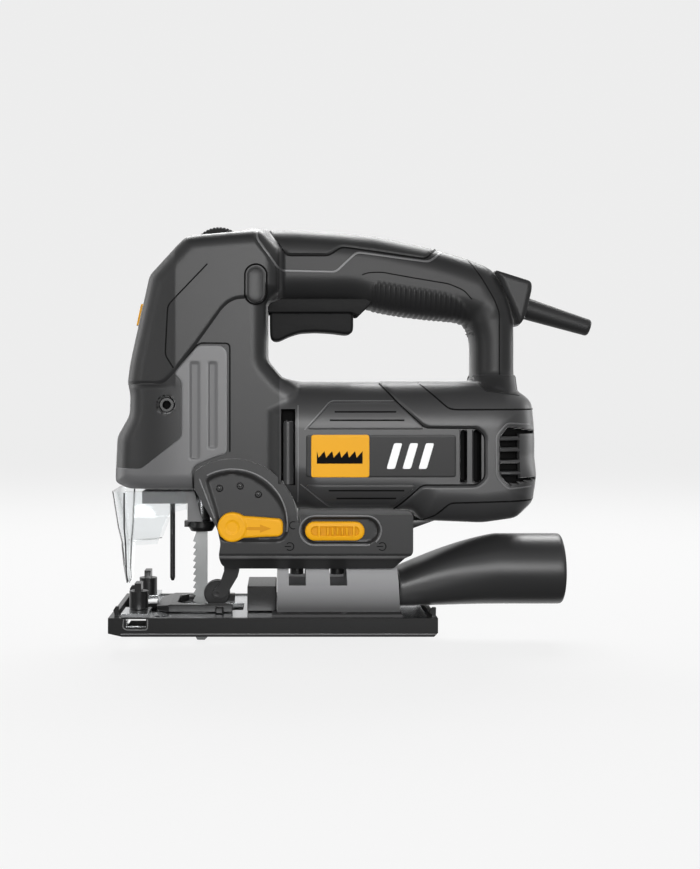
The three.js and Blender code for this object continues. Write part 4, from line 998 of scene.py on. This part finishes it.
for node, width in (("overshoe", 0.5), ("sole_plate", 0.35), ("splinter_insert", 0.4), ("cradle", 0.25),
                    ("dust_chute", 0.5), ("fence_strap_right", 0.2), ("fence_strap_left", 0.2),
                    ("fence_screw_right", 0.4), ("fence_screw_left", 0.4), ("head_bracket", 0.4),
                    ("finger_guard_rod", 0.2), ("plunger_rod", 0.3), ("blade_clamp_collar", 0.4),
                    ("guide_arm", 0.5), ("guide_roller", 0.4), ("front_badge", 0.2),
                    ("bevel_bolt_front", 0.2), ("bevel_bolt_rear", 0.2)):
    eased(node, width, shade=BLACK if node.startswith("bevel") or node == "finger_guard_rod" else None)

# ---------- small details ----------
HEAD_PROFILE = [(0, -20), (3.9, -20), (3.9, -25.4), (3.5, -25.8), (2.2, -25.8), (1.9, -25.4), (1.7, -22.5), (0, -22.5)]
# the socket in the middle of the screw head takes painted shade
build("screw_head", lathe(HEAD_PROFILE, "y", SCREW, 32), "machine", [BLACK, SHADE_AND_PRINT_BLACK], ("housing_screw",),
      zone=lambda x, y, z: (np.hypot(x - SCREW[0], z - SCREW[1]) < 2.05).astype(int))
# curved wall seen inside the tall air slot
liner = patch(depth_in([[5.2, 75], [10.3, 75], [10.3, 107.4], [5.2, 107.4]], 0.4),
              lambda x, z: 30.6 - 0.22 * (x - 7.4) ** 2, (4, 12, 74, 109), 0.6, 0.4, 3.5)
build("slot_liner", both(liner), "machine", CHARCOAL)
# painted shade: a near-black sheet across the floor of the fence channel on each side, in place of the tool's own
# shadow
shade_sheet = slab([[-73.4, -33.8], [-63.6, -33.8], [-63.6, -18.3], [-73.4, -18.3]], 3.02, 4.55, "z", 0.2, 2)
build("channel_shade_sheet", both(shade_sheet), "base", SHADE_AND_PRINT_BLACK)
pin = lathe([(0, -4.6), (1.9, -4.6), (1.9, -4.93), (1.5, -4.97), (1.2, -4.92), (0, -4.92)], "y", ROLLER, 28)
build("roller_pin", both(pin), "arm", BLACK)
# painted shade: a black wedge that fills the gap under the motor, behind the frame's upper rear corner
wedge = slab([[71, 57], [82, 56.6], [71, 52.6]], -25, 25, "y", 0.3)
build("shade_wedge", wedge, "machine", BLACK)
# open rings and bars moulded below the slider and in front of it
marks = []
for cx in (8.5, 55):
    marks.append(arc(cx, 44.3, 2.0, -140, 140, 20))
    marks.append([[cx - 2.6, 44.3], [cx + 0.6, 44.3]])
marks.append(arc(10.2, 55, 1.9, 60, 300, 16))
seams("direction_marks", marks, level(RIM_HALF), 0.5, 0.2, SEAM, 0.3)
# light beads along the overshoe's lower lip and around the fence channel: painted highlights on those edges
seams("base_lip", [[[-76, 1.3], [81.6, 1.3]]], level(BASE_HALF), 0.7, 0.12, EDGE_HIGHLIGHT, 0.3, "base")
seams("channel_rim", [[[-74.6, 8.8], [-75, 4.6], [-73.2, 3.4], [-63.4, 3.4], [-62.6, 4.4], [-62.6, 8.8]]],
      level(BASE_HALF), 0.6, 0.12, EDGE_HIGHLIGHT, 0.5, "base")

# ---------- camera, light and floor, in metres ----------
camera = bpy.data.objects.new("camera", bpy.data.cameras.new("camera"))
bpy.context.scene.collection.objects.link(camera)
camera.location = (0.004, -0.660, 0.1222)
camera.rotation_euler = (math.radians(90), 0, 0)
camera.data.lens = 51.6
camera.data.shift_x, camera.data.shift_y = 0.0794, -0.0489
bpy.context.scene.camera = camera


def softbox(name, place, at, size, power):
    """Rectangular area light turned towards a point. Lengths in metres, power in watts."""
    lamp = bpy.data.lights.new(name, "AREA")
    lamp.shape, lamp.size, lamp.size_y = "RECTANGLE", size[0], size[1]
    lamp.energy = power
    ob = bpy.data.objects.new(name, lamp)
    bpy.context.scene.collection.objects.link(ob)
    ob.location = place
    ob.rotation_euler = (Vector(at) - ob.location).to_track_quat("-Z", "Y").to_euler()


softbox("front", (0.09, -1.35, 0.37), (0.03, 0, 0.12), (0.8, 0.45), 16.5)
softbox("top", (0.05, 0.55, 0.85), (0.03, 0, 0.12), (0.9, 0.4), 17)
softbox("left_fill", (-1.05, -0.7, 0.16), (-0.06, 0, 0.1), (0.3, 0.3), 2.2)
softbox("low_fill", (0.3, -1.3, 0.16), (0.05, 0, 0.08), (0.7, 0.2), 2.6)
softbox("left_rim", (-0.9, 0.35, 0.35), (0, 0, 0.1), (0.25, 0.9), 4)
softbox("right_rim", (1.0, 0.45, 0.3), (0, 0, 0.1), (0.25, 0.9), 4)

world = bpy.data.worlds.new("studio")
world.use_nodes = True
world.node_tree.nodes["Background"].inputs["Color"].default_value = (0.9, 0.9, 0.9, 1)
world.node_tree.nodes["Background"].inputs["Strength"].default_value = 0.06
bpy.context.scene.world = world
bpy.context.scene.view_settings.view_transform = "Standard"


FLOOR, FLAT, CURVE, WALL_TOP = -0.0094, 2.4, 0.8, 5.0      # height, flat radius, bend radius, height


def backdrop(name, start, first, last, mirrored_in_object=True):
    """Half of a pale studio bowl, or a band of it: the section is a floor that curves up into a
    wall, swept half a turn about Z from the start angle. first and last pick the section's points,
    and mirrored_in_object says whether the band shows in the object's reflections."""
    t = np.linspace(0, math.pi / 2, 16)
    r = np.concatenate([[0.00001, 1.5], FLAT + CURVE * np.sin(t), [FLAT + CURVE]])[first:last]
    z = np.concatenate([[FLOOR, FLOOR], FLOOR + CURVE * (1 - np.cos(t)), [WALL_TOP]])[first:last]
    a = np.linspace(start, start + math.pi, 49)
    n = len(r)
    verts = np.stack([np.outer(np.cos(a), r), np.outer(np.sin(a), r), np.broadcast_to(z, (len(a), n))], -1)
    k = (np.arange(len(a) - 1)[:, None] * n + np.arange(n - 1)).ravel()
    mesh = bpy.data.meshes.new(name)
    mesh.from_pydata(verts.reshape(-1, 3).tolist(), [], np.stack([k, k + 1, k + n + 1, k + n], 1).tolist())
    mesh.shade_smooth()
    ob = bpy.data.objects.new(name, mesh)
    bpy.context.scene.collection.objects.link(ob)
    mesh.materials.append(SWEEP)
    ob.visible_diffuse = False
    ob.visible_glossy = mirrored_in_object


SWEEP = finish("pale sweep", (0.06, 0.06, 0.06), 0.9, mottle=0.001, shine=0.0)
glow = SWEEP.node_tree.nodes["Principled BSDF"]
socket(glow, "Emission Color", (1, 1, 1, 1))
socket(glow, "Emission Strength", 0.84)
backdrop("backdrop_rear", 0, 0, 19)
backdrop("backdrop_front_floor", math.pi, 0, 3, False)
backdrop("backdrop_front_wall", math.pi, 2, 19)
